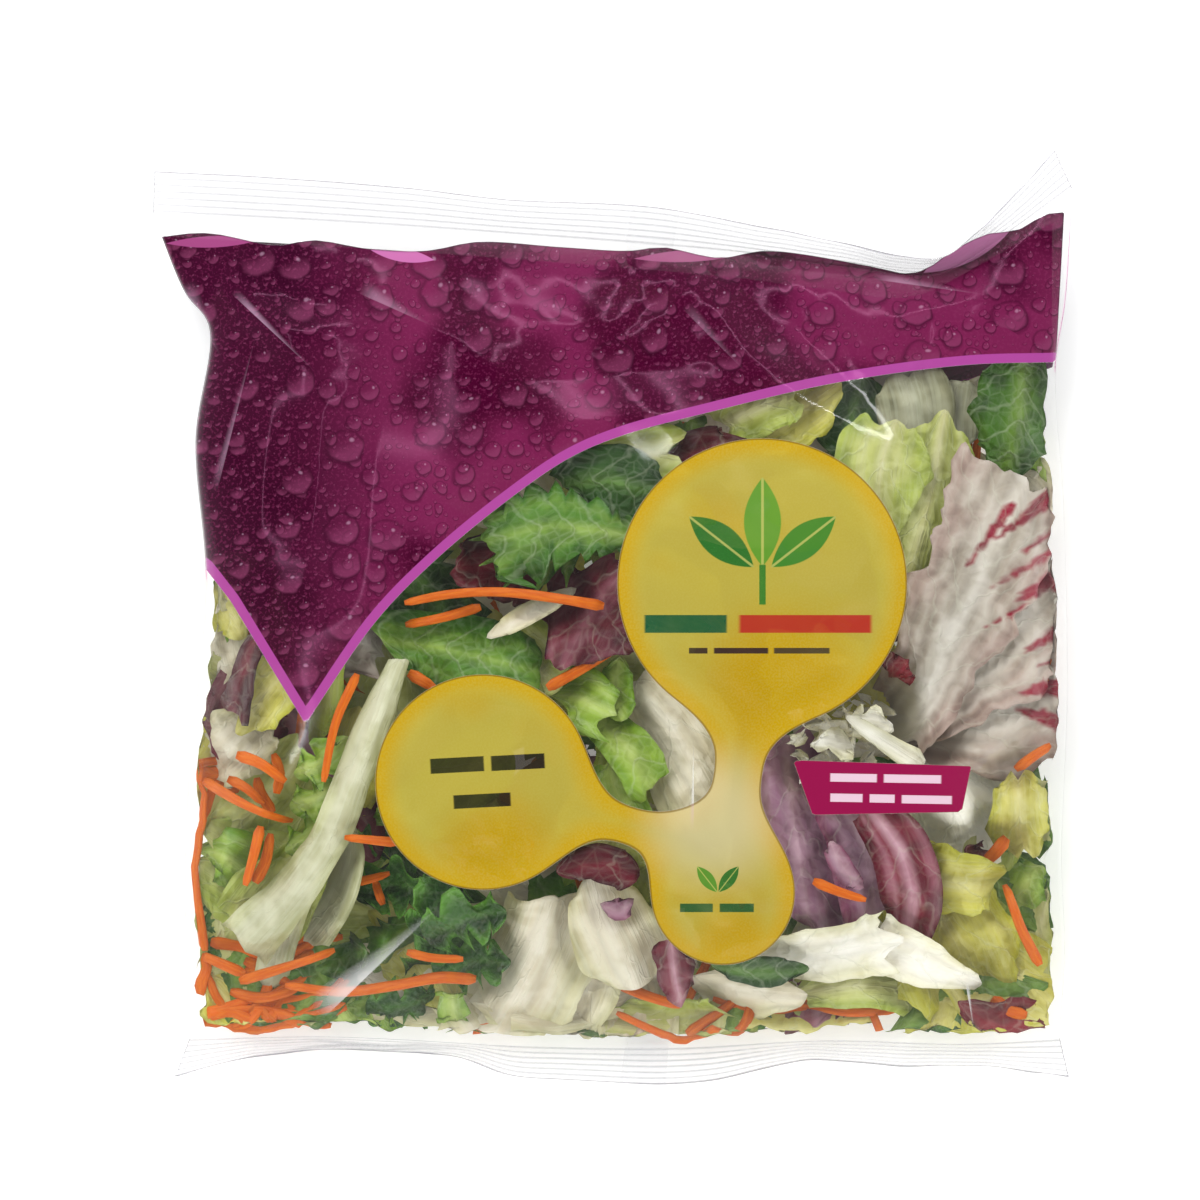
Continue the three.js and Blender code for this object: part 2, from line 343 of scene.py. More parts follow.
def grid_quads(rows, columns, closed=False):
    """Faces of a grid of points, counter-clockwise with columns to the right and rows up."""
    span = columns if closed else columns - 1
    row = np.arange(rows - 1)[:, None] * columns
    column = np.arange(span)[None]
    beside = (column + 1) % columns
    quads = np.stack([row + column, row + beside, row + columns + beside, row + columns + column], -1)
    return quads.reshape(-1, 4)


# The print: signed distances in millimetres, below zero inside a field

PURPLE_TOP = [
    (-132, 106), (-114, 108), (-94, 104.5), (-84, 106), (-68, 103.5), (-52, 103), (-38, 105.5), (-14, 104),
    (5, 103), (14, 104), (30, 101), (43, 103), (73, 98.5), (83, 96.5), (88, 98), (96, 103.5), (106, 108),
    (113, 108.6), (121.3, 113.2), (126.5, 113.8),
]
PURPLE_LOWER = [
    (124.2, 71.8), (99, 71), (62.5, 66), (28, 58), (2, 51), (-12, 45), (-29.5, 33), (-50, 16), (-66, -0.5),
    (-86, -29.5),
]
PURPLE_LEFT = [(-107, 5), (-114, 14), (-132, 28)]
YELLOW_DISCS = [(41.9, 9.9, 40.6), (-36.3, -45.8, 30.2), (30.9, -76.8, 20.2)]
YELLOW_NECKS = [(41.9, 9.9, 30.9, -76.8, 6.3), (-36.3, -45.8, 26, -64, 4.5)]
YELLOW_BLEND = 15
TAG = [(50.5, -39.6), (100.5, -41.3), (97.8, -54.2), (56, -55)]
BAG_WIDTH = 259
BACK_LINE = [(-130, 12), (130, 72)]
BACK_TOP_GAP = 6
BACK_RIGHT_END = 124


# Farther than any two places on the bag
FAR = 1e3


def polygon_distance(x, y, corners):
    """Signed distance to a closed outline, below zero inside."""
    nearest = np.full(x.shape, FAR)
    inside = np.zeros(x.shape, bool)
    for (x0, y0), (x1, y1) in zip(corners, corners[1:] + corners[:1]):
        nearest = np.minimum(nearest, segment_distance(x, y, x0, y0, x1, y1))
        if y0 != y1:
            crosses = ((y0 > y) != (y1 > y)) & (x < (x1 - x0) * (y - y0) / (y1 - y0) + x0)
            inside ^= crosses
    return np.where(inside, -nearest, nearest)


def segment_distance(x, y, x0, y0, x1, y1):
    length_squared = max((x1 - x0) ** 2 + (y1 - y0) ** 2, 1e-9)
    along = np.clip(((x - x0) * (x1 - x0) + (y - y0) * (y1 - y0)) / length_squared, 0, 1)
    return np.hypot(x - x0 - along * (x1 - x0), y - y0 - along * (y1 - y0))


def smooth_union(a, b, blend):
    overlap = np.maximum(blend - np.abs(a - b), 0) / blend
    return np.minimum(a, b) - overlap**2 * blend / 4


def outline(points, steps=60):
    return [tuple(p) for p in catmull_rom(points)(np.linspace(0, 1, steps))]


def print_fields(x, y):
    """Distances to the purple field, its lower border, the yellow field and the magenta tag."""
    lower = outline(PURPLE_LOWER)
    corners = outline(PURPLE_TOP) + lower + PURPLE_LEFT
    purple = polygon_distance(x, y, corners)
    border = np.full(x.shape, FAR)
    rim = lower + PURPLE_LEFT
    for (x0, y0), (x1, y1) in zip(rim, rim[1:]):
        border = np.minimum(border, segment_distance(x, y, x0, y0, x1, y1))
    yellow = np.full(x.shape, FAR)
    for cx, cy, radius in YELLOW_DISCS:
        yellow = smooth_union(yellow, np.hypot(x - cx, y - cy) - radius, YELLOW_BLEND)
    for x0, y0, x1, y1, half_width in YELLOW_NECKS:
        yellow = smooth_union(yellow, segment_distance(x, y, x0, y0, x1, y1) - half_width, YELLOW_BLEND)
    tag = polygon_distance(x, y, TAG)
    return {"purple": purple, "border": border, "yellow": yellow, "tag": tag}


def back_fields(x, y):
    line = np.interp(x, [p[0] for p in BACK_LINE], [p[1] for p in BACK_LINE])
    top = top_line(x / BAG_WIDTH + 0.5)[..., 1] - BACK_TOP_GAP
    purple = np.maximum.reduce([line - y, y - top, x - BACK_RIGHT_END])
    far = np.full(x.shape, FAR)
    return {"purple": purple, "border": np.abs(line - y), "yellow": far, "tag": far}


# Materials

def node(tree, kind, inputs=(), **settings):
    made = tree.nodes.new(kind)
    for key, value in settings.items():
        setattr(made, key, value)
    for key, value in dict(inputs).items():
        if isinstance(value, bpy.types.NodeSocket):
            tree.links.new(value, made.inputs[key])
        else:
            made.inputs[key].default_value = value
    return made


def calc(tree, operation, *values):
    return node(tree, "ShaderNodeMath", enumerate(values), operation=operation).outputs[0]


def vector_calc(tree, operation, *values, output=0):
    return node(tree, "ShaderNodeVectorMath", enumerate(values), operation=operation).outputs[output]


def blend(tree, factor, a, b, mode="MIX"):
    made = tree.nodes.new("ShaderNodeMix")
    made.data_type = "RGBA"
    made.blend_type = mode
    for index, value in ((0, factor), (6, a), (7, b)):
        if isinstance(value, bpy.types.NodeSocket):
            tree.links.new(value, made.inputs[index])
        else:
            made.inputs[index].default_value = value if index == 0 else (*value, 1)
    return made.outputs[2]


def fade(tree, value, low, high, to_low=0.0, to_high=1.0):
    inputs = {"Value": value, "From Min": low, "From Max": high, "To Min": to_low, "To Max": to_high}
    return node(tree, "ShaderNodeMapRange", inputs, interpolation_type="SMOOTHSTEP").outputs[0]


def texture_noise(tree, vector, scale, detail=2.0, roughness=0.5):
    inputs = {"Vector": vector, "Scale": scale, "Detail": detail, "Roughness": roughness}
    return node(tree, "ShaderNodeTexNoise", inputs, noise_dimensions="2D").outputs["Fac"]


def attribute(tree, name, output="Fac"):
    return node(tree, "ShaderNodeAttribute", attribute_name=name).outputs[output]


def bumpy(tree, height, strength, distance):
    inputs = {"Height": height, "Strength": strength, "Distance": distance * MM}
    return node(tree, "ShaderNodeBump", inputs).outputs[0]


def own_place(tree, plan, x, y, degrees, half_length, half_width):
    """The place within a turned oblong, from -1 to 1 both ways, with its parts as outputs."""
    local = node(tree, "ShaderNodeMapping", {
        "Vector": plan, "Location": (x, y, 0), "Rotation": (0, 0, math.radians(degrees)),
        "Scale": (half_length, half_width, 1)}, vector_type="TEXTURE").outputs[0]
    return node(tree, "ShaderNodeSeparateXYZ", {0: local})


def new_material(name):
    material = bpy.data.materials.new(name)
    material.use_nodes = True
    material.cycles.emission_sampling = "NONE"
    tree = material.node_tree
    tree.nodes.clear()
    surface = tree.nodes.new("ShaderNodeBsdfPrincipled")
    output = tree.nodes.new("ShaderNodeOutputMaterial")
    tree.links.new(surface.outputs[0], output.inputs[0])
    return material, tree, surface


def feed(tree, surface, **inputs):
    """Sets or links the sockets of a shader, by names with _ for a space."""
    for key, value in inputs.items():
        socket = surface.inputs[key.replace("_", " ")]
        if isinstance(value, bpy.types.NodeSocket):
            tree.links.new(value, socket)
        else:
            socket.default_value = value


DROP_DARK = paint(42, 0, 24)
DROP_GLOW = paint(128, 56, 92)
DROP_GLINT = paint(236, 190, 222)
# Printed drops, small to large: shift in x and y, width of a cell, smallest and largest radius,
# share of the cells with a drop, strength of the glint
DROP_SIZES = [
    (0, 0, 2.8, 0.32, 0.9, 0.75, 0), (31, 17, 6.4, 1.0, 2.3, 0.85, 0.2), (7, 53, 12.5, 2.7, 4.9, 0.72, 0.22),
]


def printed_drops(tree, plan, colour, cell, smallest, largest, presence, glint):
    """Draws one size of printed water drops over a colour. Sizes are millimetres."""
    cells = node(tree, "ShaderNodeTexVoronoi", {"Vector": plan, "Scale": 1 / cell, "Randomness": 0.62},
                 voronoi_dimensions="2D")
    split = node(tree, "ShaderNodeSeparateColor", {0: cells.outputs["Color"]})
    radius = fade(tree, split.outputs[0], 0, 1, smallest, largest)
    offset = vector_calc(tree, "SUBTRACT", plan, cells.outputs["Position"])
    stretch = fade(tree, split.outputs[1], 0, 1, 0.84, 1.12)
    local = node(tree, "ShaderNodeSeparateXYZ", {0: offset})
    across = calc(tree, "DIVIDE", calc(tree, "MULTIPLY", local.outputs[0], stretch), radius)
    up = calc(tree, "DIVIDE", local.outputs[1], radius)
    flat = node(tree, "ShaderNodeCombineXYZ", {0: across, 1: up}).outputs[0]
    reach = vector_calc(tree, "LENGTH", flat, output="Value")
    shadow_reach = vector_calc(tree, "DISTANCE", flat, (-0.06, -0.14, 0), output="Value")
    here = calc(tree, "GREATER_THAN", presence, split.outputs[2])
    inside = calc(tree, "MULTIPLY", fade(tree, reach, 1.0, 0.9), here)
    shadow = calc(tree, "MULTIPLY", fade(tree, shadow_reach, 1.22, 0.92), here)
    low_glow = fade(tree, calc(tree, "SUBTRACT", up, calc(tree, "MULTIPLY", across, 0.4)), 0.75, -0.8)
    ring = calc(tree, "MULTIPLY", fade(tree, reach, 0.74, 0.97), fade(tree, low_glow, 0, 1, 0.5, 0.85))
    body = blend(tree, fade(tree, low_glow, 0, 1, 0.0, 0.5), colour, DROP_GLOW)
    body = blend(tree, ring, body, DROP_DARK)
    if glint:
        glint_reach = vector_calc(tree, "DISTANCE", flat, (0.28, 0.36, 0), output="Value")
        spot = calc(tree, "MULTIPLY", fade(tree, glint_reach, 0.17, 0.04), glint)
        body = blend(tree, spot, body, DROP_GLINT)
    shaded = blend(tree, calc(tree, "MULTIPLY", shadow, 0.4), colour, DROP_DARK)
    return blend(tree, inside, shaded, body)


def purple_ink(tree, plan):
    """Deep purple with printed drops of three sizes and a fine dew between them, under broad patches of
    painted sheen and painted shade, with painted shade deepest on the left.
    """
    # Broad soft patches of lighter and darker purple: painted sheen and painted shade
    cloud = texture_noise(tree, plan, 0.02, 2)
    colour = blend(tree, fade(tree, cloud, 0.42, 0.57), paint(64, 0, 35), paint(110, 28, 70))
    place = node(tree, "ShaderNodeSeparateXYZ", {0: plan})
    # Painted shade, darker towards the left side of the field
    colour = blend(tree, fade(tree, place.outputs[0], -48, -96, 0, 0.9), colour, paint(46, 0, 27))
    dew = texture_noise(tree, plan, 1.1, 1, 0.7)
    colour = blend(tree, fade(tree, dew, 0.5, 0.72, 0, 0.3), colour, paint(126, 42, 84))
    wobble = node(tree, "ShaderNodeTexNoise", {"Vector": plan, "Scale": 0.28, "Detail": 0.0},
                  noise_dimensions="2D").outputs["Color"]
    centred = vector_calc(tree, "SUBTRACT", wobble, (0.5, 0.5, 0.5))
    shift = vector_calc(tree, "MULTIPLY", centred, (1.1, 1.1, 0))
    bent = vector_calc(tree, "ADD", plan, shift)
    for shift_x, shift_y, *sizes in DROP_SIZES:
        moved = vector_calc(tree, "ADD", bent, (shift_x, shift_y, 0))
        colour = printed_drops(tree, moved, colour, *sizes)
    return colour


def yellow_ink(tree, plan, distance):
    """Golden at the rim, khaki in the middle and pale where the lobes meet."""
    depth = fade(tree, distance, -8, -0.5)
    cloud = texture_noise(tree, plan, 0.028, 2)
    gold_share = calc(tree, "MAXIMUM", depth, fade(tree, cloud, 0.5, 0.7, 0, 0.5))
    for x, y, radius in YELLOW_DISCS:
        below = vector_calc(tree, "DISTANCE", plan, (x + 0.15 * radius, y - 0.75 * radius, 0), output="Value")
        gold_share = calc(tree, "MAXIMUM", gold_share, fade(tree, below, 0.8 * radius, 0.25 * radius))
    colour = blend(tree, gold_share, paint(182, 165, 64), paint(188, 150, 0))
    speckle = texture_noise(tree, plan, 1.7, 2)
    colour = blend(tree, fade(tree, speckle, 0.35, 0.7, 0, 0.22), colour, paint(190, 178, 86))
    from_neck = vector_calc(tree, "DISTANCE", plan, (*NECK_CENTRE, 0), output="Value")
    colour = blend(tree, fade(tree, from_neck, 26, 6, 0, 0.6), colour, paint(212, 204, 164))
    outline_share = fade(tree, calc(tree, "ABSOLUTE", calc(tree, "ADD", distance, 0.22)), 0.36, 0.12)
    return blend(tree, calc(tree, "MULTIPLY", outline_share, 0.7), colour, paint(110, 84, 16))


NECK_CENTRE = (28, -56)
# Plain leaf shapes: middle x, y, degrees, half length, half width, colour
LEAF_MARKS = [
    (42, 27, 90, 12.5, 5.2, (96, 150, 46)), (30.5, 21.5, 142, 11.5, 4.6, (44, 110, 40)),
    (53.5, 21.5, 38, 11.5, 4.6, (62, 128, 42)), (26.5, -73, 128, 4.6, 1.9, (84, 140, 44)),
    (32.5, -73, 52, 4.6, 1.9, (48, 112, 40)),
]
# Plain bars: middle x, y, degrees, half length, half height, colour
BAR_MARKS = [
    (42, 9.5, 0, 0.9, 5.6, (60, 122, 42)),
    (20.5, -1.5, 0, 11.5, 2.5, (20, 84, 52)), (54, -1.5, 0, 18.5, 2.5, (178, 52, 34)),
    (24, -9, 0, 2.6, 0.8, (60, 44, 36)), (36, -9, 0, 7.6, 0.8, (60, 44, 36)),
    (53, -9, 0, 7.8, 0.8, (60, 44, 36)),
    (-43.5, -41, 3, 7.5, 2.1, (42, 36, 22)), (-26.5, -40.2, 3, 7.5, 2.1, (42, 36, 22)),
    (-36.5, -51, 3, 8, 1.9, (42, 36, 22)),
    (23.5, -81, 0, 4.6, 1.2, (40, 88, 44)), (34.8, -81, 0, 4.8, 1.2, (40, 88, 44)),
]
TAG_BARS = [
    (67.5, -44.6, -1, 6.5, 1.15, (218, 188, 202)), (84, -44.9, -1, 8, 1.15, (218, 188, 202)),
    (65.5, -50.2, -1, 4.5, 1.15, (218, 188, 202)), (75.5, -50.4, -1, 3.5, 1.15, (218, 188, 202)),
    (88, -50.7, -1, 7, 1.15, (218, 188, 202)),
]
# Strips of the field that are folded over and look pale, given as the marks are
PALE_FOLDS = [
    (99.6, 103.2, 27, 14, 3.2, (186, 112, 158)), (-58.8, 101.8, -9, 9, 1.9, (186, 104, 160)),
    (-112, 105.5, 2, 13, 1.6, (150, 66, 118)), (22, 101.6, 3, 16, 1.7, (146, 72, 112)),
]


def print_marks(tree, plan, colour, marks, pointed, veined=False):
    """Plain leaf shapes or bars printed on a field."""
    for x, y, degrees, half_length, half_width, ink in marks:
        split = own_place(tree, plan, x, y, degrees, half_length, half_width)
        along = calc(tree, "ABSOLUTE", split.outputs[0])
        across = calc(tree, "ABSOLUTE", split.outputs[1])
        if pointed:
            reach = calc(tree, "ADD", across, calc(tree, "MULTIPLY", along, along))
        else:
            reach = calc(tree, "MAXIMUM", along, across)
        shape = fade(tree, reach, 1.04, 0.96)
        shade = paint(*ink)
        if veined:
            shade = blend(tree, fade(tree, across, 0.1, 0.04, 0, 0.6), shade, paint(206, 200, 110))
        colour = blend(tree, shape, colour, shade)
    return colour


CLEAR_INK = paint(250, 251, 250)
FOLD_SHINE = paint(206, 168, 196)
# Grey painted over the end seals and the back seam: a painted dark reflection that lets the crimp lines show
# faintly
SEAL_GREY = paint(140, 138, 148)
# Painted glare along creases, long white wedges that stand in for the lights' reflections in them: middle x,
# y, degrees, half length, half width, strength
CREASE_GLARE = [
    (-66, -91, 44, 28, 5.0, 0.5), (-93, 80, -43, 18, 1.4, 0.8), (-58.7, 88.5, -24, 13, 2.8, 0.5),
    (-112.5, 83.5, -58, 13, 3.2, 0.5), (31, 78, -45, 15, 2.0, 0.28), (22, -44, 90, 16, 0.8, 0.5),
    (101, -110, -80, 9, 0.8, 0.5), (-58, -119, -3, 34, 1.0, 0.3), (90.5, 94.2, -8, 18.5, 1.7, 0.6),
    (-106, 60, 76, 26, 1.4, 0.45),
]


def creases(tree, plan):
    """How much painted glare lies along sharp creases: long thin wedges, crisp along one side."""
    share = 0.0
    for x, y, degrees, half_length, half_width, strength in CREASE_GLARE:
        split = own_place(tree, plan, x, y, degrees, half_length, half_width)
        low_side = fade(tree, split.outputs[1], -1.0, -0.9)
        high_side = fade(tree, calc(tree, "ADD", split.outputs[0], split.outputs[1]), 0.0, -1.3)
        end = fade(tree, calc(tree, "ABSOLUTE", split.outputs[0]), 1.0, 0.55)
        wedge = calc(tree, "MULTIPLY", calc(tree, "MULTIPLY", low_side, high_side), end)
        share = calc(tree, "MAXIMUM", share, calc(tree, "MULTIPLY", wedge, strength))
    return share


PURPLE_SHEEN = (1.0, 0.38, 0.7, 1)
PLAIN_SHEEN = (1.0, 1.0, 1.0, 1)
SEAL_SHARE = 0.25
# What film lets through: bare, under the purple and under the yellow
CLEAR_TINT = (0.965, 0.965, 0.965)
PURPLE_TINT = (0.03, 0.004, 0.015)
YELLOW_TINT = (0.2, 0.17, 0.04)


def plain_unseen(material, tree, surface, plain_kind, colour):
    """Rays that only carry light meet a plain surface of one colour, which is quick to work out."""
    plain = node(tree, plain_kind, {"Color": colour}).outputs[0]
    seen = node(tree, "ShaderNodeLightPath").outputs["Is Camera Ray"]
    either = node(tree, "ShaderNodeMixShader", {0: seen, 1: plain, 2: surface.outputs[0]}).outputs[0]
    output = next(made for made in tree.nodes if made.type == "OUTPUT_MATERIAL")
    tree.links.new(either, output.inputs[0])
    return material


def film_material(name, print_on_it):
    """Clear film that shows its glare alone, with one of the printed fields on it or none."""
    material, tree, surface = new_material(name)
    facing = node(tree, "ShaderNodeLayerWeight", {"Blend": 0.5}).outputs["Facing"]
    edge_on = calc(tree, "POWER", facing, 4.0)
    glare = fade(tree, edge_on, 0, 1, 0.035, 0.9)
    seal = attribute(tree, "seal")
    plan = node(tree, "ShaderNodeUVMap", uv_map="print").outputs[0]
    # Painted glare on creases: where it lies the film grows more opaque, and clear film turns from a mirror
    # to diffuse white
    crease_glare = creases(tree, plan)
    alpha = calc(tree, "MAXIMUM", glare, crease_glare)
    alpha = calc(tree, "MAXIMUM", alpha, calc(tree, "MULTIPLY", seal, SEAL_SHARE))
    if print_on_it is None:
        metallic = fade(tree, calc(tree, "MAXIMUM", crease_glare, seal), 0.02, 0.1, 1, 0)
        clear = blend(tree, fade(tree, seal, 0, 0.2), CLEAR_INK, SEAL_GREY)
        feed(tree, surface, Base_Color=clear, Metallic=metallic, Alpha=alpha, Roughness=0.09)
        return plain_unseen(material, tree, surface, "ShaderNodeBsdfTransparent", (*CLEAR_TINT, 1))
    sheen, shine = PLAIN_SHEEN, 0.3
    if print_on_it == "purple":
        purple = attribute(tree, "purple")
        printed = fade(tree, purple, 0.1, -0.1)
        in_border = fade(tree, attribute(tree, "border"), 2.75, 2.55)
        dark_line = fade(tree, purple, -0.5, -0.05)
        colour = print_marks(tree, plan, purple_ink(tree, plan), PALE_FOLDS, pointed=True)
        colour = blend(tree, calc(tree, "MULTIPLY", dark_line, 0.6), colour, paint(50, 0, 42))
        colour = blend(tree, in_border, colour, paint(160, 66, 142))
        cover = 0.975
        sheen, shine = PURPLE_SHEEN, 0.2
        through = PURPLE_TINT
    else:
        yellow, tag = attribute(tree, "yellow"), attribute(tree, "tag")
        in_tag = fade(tree, tag, 0.1, -0.1)
        printed = calc(tree, "MAXIMUM", fade(tree, yellow, 0.1, -0.1), in_tag)
        colour = yellow_ink(tree, plan, yellow)
        colour = print_marks(tree, plan, colour, LEAF_MARKS, pointed=True, veined=True)
        colour = print_marks(tree, plan, colour, BAR_MARKS, pointed=False)
        tag_ink = print_marks(tree, plan, paint(140, 6, 66), TAG_BARS, pointed=False)
        colour = blend(tree, in_tag, colour, tag_ink)
        cover = calc(tree, "MAXIMUM", fade(tree, yellow, -10, -0.5, 0.81, 0.93), in_tag)
        through = YELLOW_TINT
    ink = blend(tree, printed, CLEAR_INK, colour)
    # Painted shine on the creases over the print, in FOLD_SHINE
    shining = calc(tree, "MULTIPLY", crease_glare, calc(tree, "MULTIPLY", printed, 0.55))
    ink = blend(tree, shining, ink, FOLD_SHINE)
    alpha = calc(tree, "MAXIMUM", alpha, calc(tree, "MULTIPLY", printed, cover))
    bare = calc(tree, "MULTIPLY", calc(tree, "SUBTRACT", 1.0, printed), fade(tree, crease_glare, 0.02, 0.1, 1, 0))
    feed(
        tree, surface, Base_Color=ink, Metallic=bare, Alpha=alpha, Roughness=0.13,
        Specular_IOR_Level=shine, Specular_Tint=sheen,
    )
    passed = blend(tree, printed, CLEAR_TINT, through)
    return plain_unseen(material, tree, surface, "ShaderNodeBsdfTransparent", passed)


# Leaves and carrot shreds glow faintly in their own colour: a painted glow that stands in for light shining
# through them
PAINTED_GLOW = 0.1
# Fainter fibres than this leave the surface flat
FLAT_FIBRES = 0.1


def leaf_material(name, vein_gap, vein_share, wax, cell, slant, pucker, fibres):
    """A moist leaf: painted tints, side veins that branch from the midrib, a fine net of veins
    with puckers between them, fibres that run along it, and a faint painted glow. Lengths are millimetres."""
    material, tree, surface = new_material(name)
    place = node(tree, "ShaderNodeUVMap", uv_map="print").outputs[0]
    split = node(tree, "ShaderNodeSeparateXYZ", {0: place})
    across = calc(tree, "ABSOLUTE", split.outputs[0])
    blotch = texture_noise(tree, place, 0.11, 2, 0.6)
    sweep = calc(tree, "SUBTRACT", split.outputs[1], calc(tree, "MULTIPLY", across, slant))
    sweep = calc(tree, "ADD", sweep, calc(tree, "MULTIPLY", blotch, vein_gap * 0.9))
    turn = calc(tree, "FRACT", calc(tree, "DIVIDE", sweep, vein_gap))
    off_vein = calc(tree, "MULTIPLY", calc(tree, "ABSOLUTE", calc(tree, "SUBTRACT", turn, 0.5)), vein_gap)
    side_vein = fade(tree, off_vein, 0.9, 0.1)
    net_inputs = {"Vector": place, "Scale": 1 / cell, "Randomness": 1.0}
    net = node(tree, "ShaderNodeTexVoronoi", net_inputs, feature="DISTANCE_TO_EDGE",
               voronoi_dimensions="2D").outputs["Distance"]
    stretched = vector_calc(tree, "MULTIPLY", place, (1, 0.06, 1))
    fibre = fade(tree, texture_noise(tree, stretched, 0.9, 2), 0.4, 0.66)
    tint = attribute(tree, "tint", "Color")
    deeper = blend(tree, 1.0, tint, blend(tree, 0.35, tint, (1, 1, 1)), "MULTIPLY")
    colour = blend(tree, fade(tree, blotch, 0.35, 0.68, 0, 0.85), tint, deeper)
    pale = blend(tree, 0.5, tint, paint(206, 212, 186))
    colour = blend(tree, calc(tree, "MULTIPLY", fibre, fibres), colour, pale)
    colour = blend(tree, fade(tree, net, 0.12, 0.02, 0, vein_share * 0.35), colour, pale)
    colour = blend(tree, calc(tree, "MULTIPLY", side_vein, vein_share), colour, pale)
    height = calc(tree, "ADD", calc(tree, "MULTIPLY", side_vein, 0.4), fade(tree, net, 0.0, 0.5))
    if fibres > FLAT_FIBRES:
        height = calc(tree, "ADD", height, calc(tree, "MULTIPLY", fibre, fibres * 1.5))
    bump = bumpy(tree, height, 0.6, pucker)
    # The emission is a painted glow in the leaf's own colour
    feed(
        tree, surface, Base_Color=colour, Roughness=wax, Normal=bump, Specular_IOR_Level=0.4,
        Emission_Color=colour, Emission_Strength=PAINTED_GLOW,
    )
    return plain_unseen(material, tree, surface, "ShaderNodeBsdfDiffuse", tint)


def carrot_material():
    material, tree, surface = new_material("carrot_flesh")
    place = node(tree, "ShaderNodeUVMap", uv_map="print").outputs[0]
    grain = texture_noise(tree, vector_calc(tree, "MULTIPLY", place, (1, 0.15, 1)), 1.3, 3)
    tint = attribute(tree, "tint", "Color")
    colour = blend(tree, fade(tree, grain, 0.35, 0.7, 0, 0.35), tint, paint(224, 128, 28))
    bump = bumpy(tree, grain, 0.4, 0.3)
    # The emission is a painted glow in the carrot's own colour
    feed(
        tree, surface, Base_Color=colour, Roughness=0.42, Normal=bump, Specular_IOR_Level=0.3,
        Emission_Color=colour, Emission_Strength=PAINTED_GLOW,
    )
    return plain_unseen(material, tree, surface, "ShaderNodeBsdfDiffuse", tint)


# The room inside the film. near[1] is the lowest height that is still free under the front film
# and near[-1] the same for the back film, turned over; each leaf lowers it where it lies.

CELL = 1.5
LOW_X, LOW_Y = -135, -135
CELLS = 182
CLEARANCE = 0.3
FILM_CLEARANCE = 0.7
MIN_THICKNESS = 0.15


def spread_to_cells(points, keep):
    """The lowest or highest z of a grid of points in each cell of the plan."""
    finer = points
    for axis in (0, 1):
        middles = (np.take(finer, range(1, finer.shape[axis]), axis) +
                   np.take(finer, range(finer.shape[axis] - 1), axis)) / 2
        finer = np.concatenate([finer, middles], axis)
    x, y, z = finer.reshape(-1, 3).T
    column = ((x - LOW_X) / CELL).astype(int)
    row = ((y - LOW_Y) / CELL).astype(int)
    empty = np.inf if keep is np.minimum else -np.inf
    cells = np.full((CELLS, CELLS), empty)
    keep.at(cells, (row, column), z)
    for _ in range(8):
        holes = ~np.isfinite(cells)
        padded = np.pad(cells, 1, constant_values=empty)
        best = cells
        for dy, dx in ((0, 1), (2, 1), (1, 0), (1, 2)):
            best = keep(best, padded[dy:dy + CELLS, dx:dx + CELLS])
        cells = np.where(holes, best, cells)
    return np.where(np.isfinite(cells), cells, 13.0)


def shifted(cells, axis, radius):
    """The cells moved by each step within the radius along one axis."""
    padded = np.pad(cells, [(radius, radius) if a == axis else (0, 0) for a in (0, 1)], "edge")
    return [np.take(padded, range(k, k + CELLS), axis) for k in range(2 * radius + 1)]


def lowest_around(cells, radius):
    for axis in (0, 1):
        cells = np.minimum.reduce(shifted(cells, axis, radius))
    return cells


def blurred(cells, radius):
    for axis in (0, 1, 0, 1):
        cells = sum(shifted(cells, axis, radius)) / (2 * radius + 1)
    return cells


def sample(cells, x, y):
    fx = np.clip((x - LOW_X) / CELL - 0.5, 0, CELLS - 1.001)
    fy = np.clip((y - LOW_Y) / CELL - 0.5, 0, CELLS - 1.001)
    ix, iy = fx.astype(int), fy.astype(int)
    u, v = fx - ix, fy - iy
    low = cells[iy, ix] * (1 - u) + cells[iy, ix + 1] * u
    high = cells[iy + 1, ix] * (1 - u) + cells[iy + 1, ix + 1] * u
    return low * (1 - v) + high * v


def lower(cells, x, y, z):
    """Takes the room above z at these places away."""
    for dx in (-0.5, 0.5):
        for dy in (-0.5, 0.5):
            column = np.clip(((x - LOW_X) / CELL + dx * 0.8).astype(int), 0, CELLS - 1)
            row = np.clip(((y - LOW_Y) / CELL + dy * 0.8).astype(int), 0, CELLS - 1)
            np.minimum.at(cells, (row, column), z)


EDGE_MARGIN = 1.2
RAGGED = 3.0
TOP_MARGIN = 7.0
side_steps = np.linspace(0, 1, 60)
left_edge, right_edge = left_side(side_steps), right_side(side_steps)
low_edge, high_edge = bottom_line(side_steps), top_line(side_steps)


def ragged_margin(at, seed, side):
    """How far inside the film's edge a leaf ends, which changes along the edge."""
    coarse = RAGGED * (0.5 + 0.5 * noise(at / 7, seed, side))
    return EDGE_MARGIN + coarse + 0.8 * (1 + noise(at / 2.6, seed, side + 1))


def keep_inside(x, y, seed, top_margin):
    """Moves points that would lie outside the film to just inside it, each leaf to its own ragged line."""
    rough_x = ragged_margin(y, seed, 3)
    rough_y = ragged_margin(x, seed, 5)
    x = np.maximum(x, np.interp(y, left_edge[:, 1], left_edge[:, 0]) + rough_x)
    x = np.minimum(x, np.interp(y, right_edge[:, 1], right_edge[:, 0]) - rough_x)
    y = np.maximum(y, np.interp(x, low_edge[:, 0], low_edge[:, 1]) + rough_y)
    y = np.minimum(y, np.interp(x, high_edge[:, 0], high_edge[:, 1]) - rough_y - top_margin)
    return x, y


# Leaves and shreds

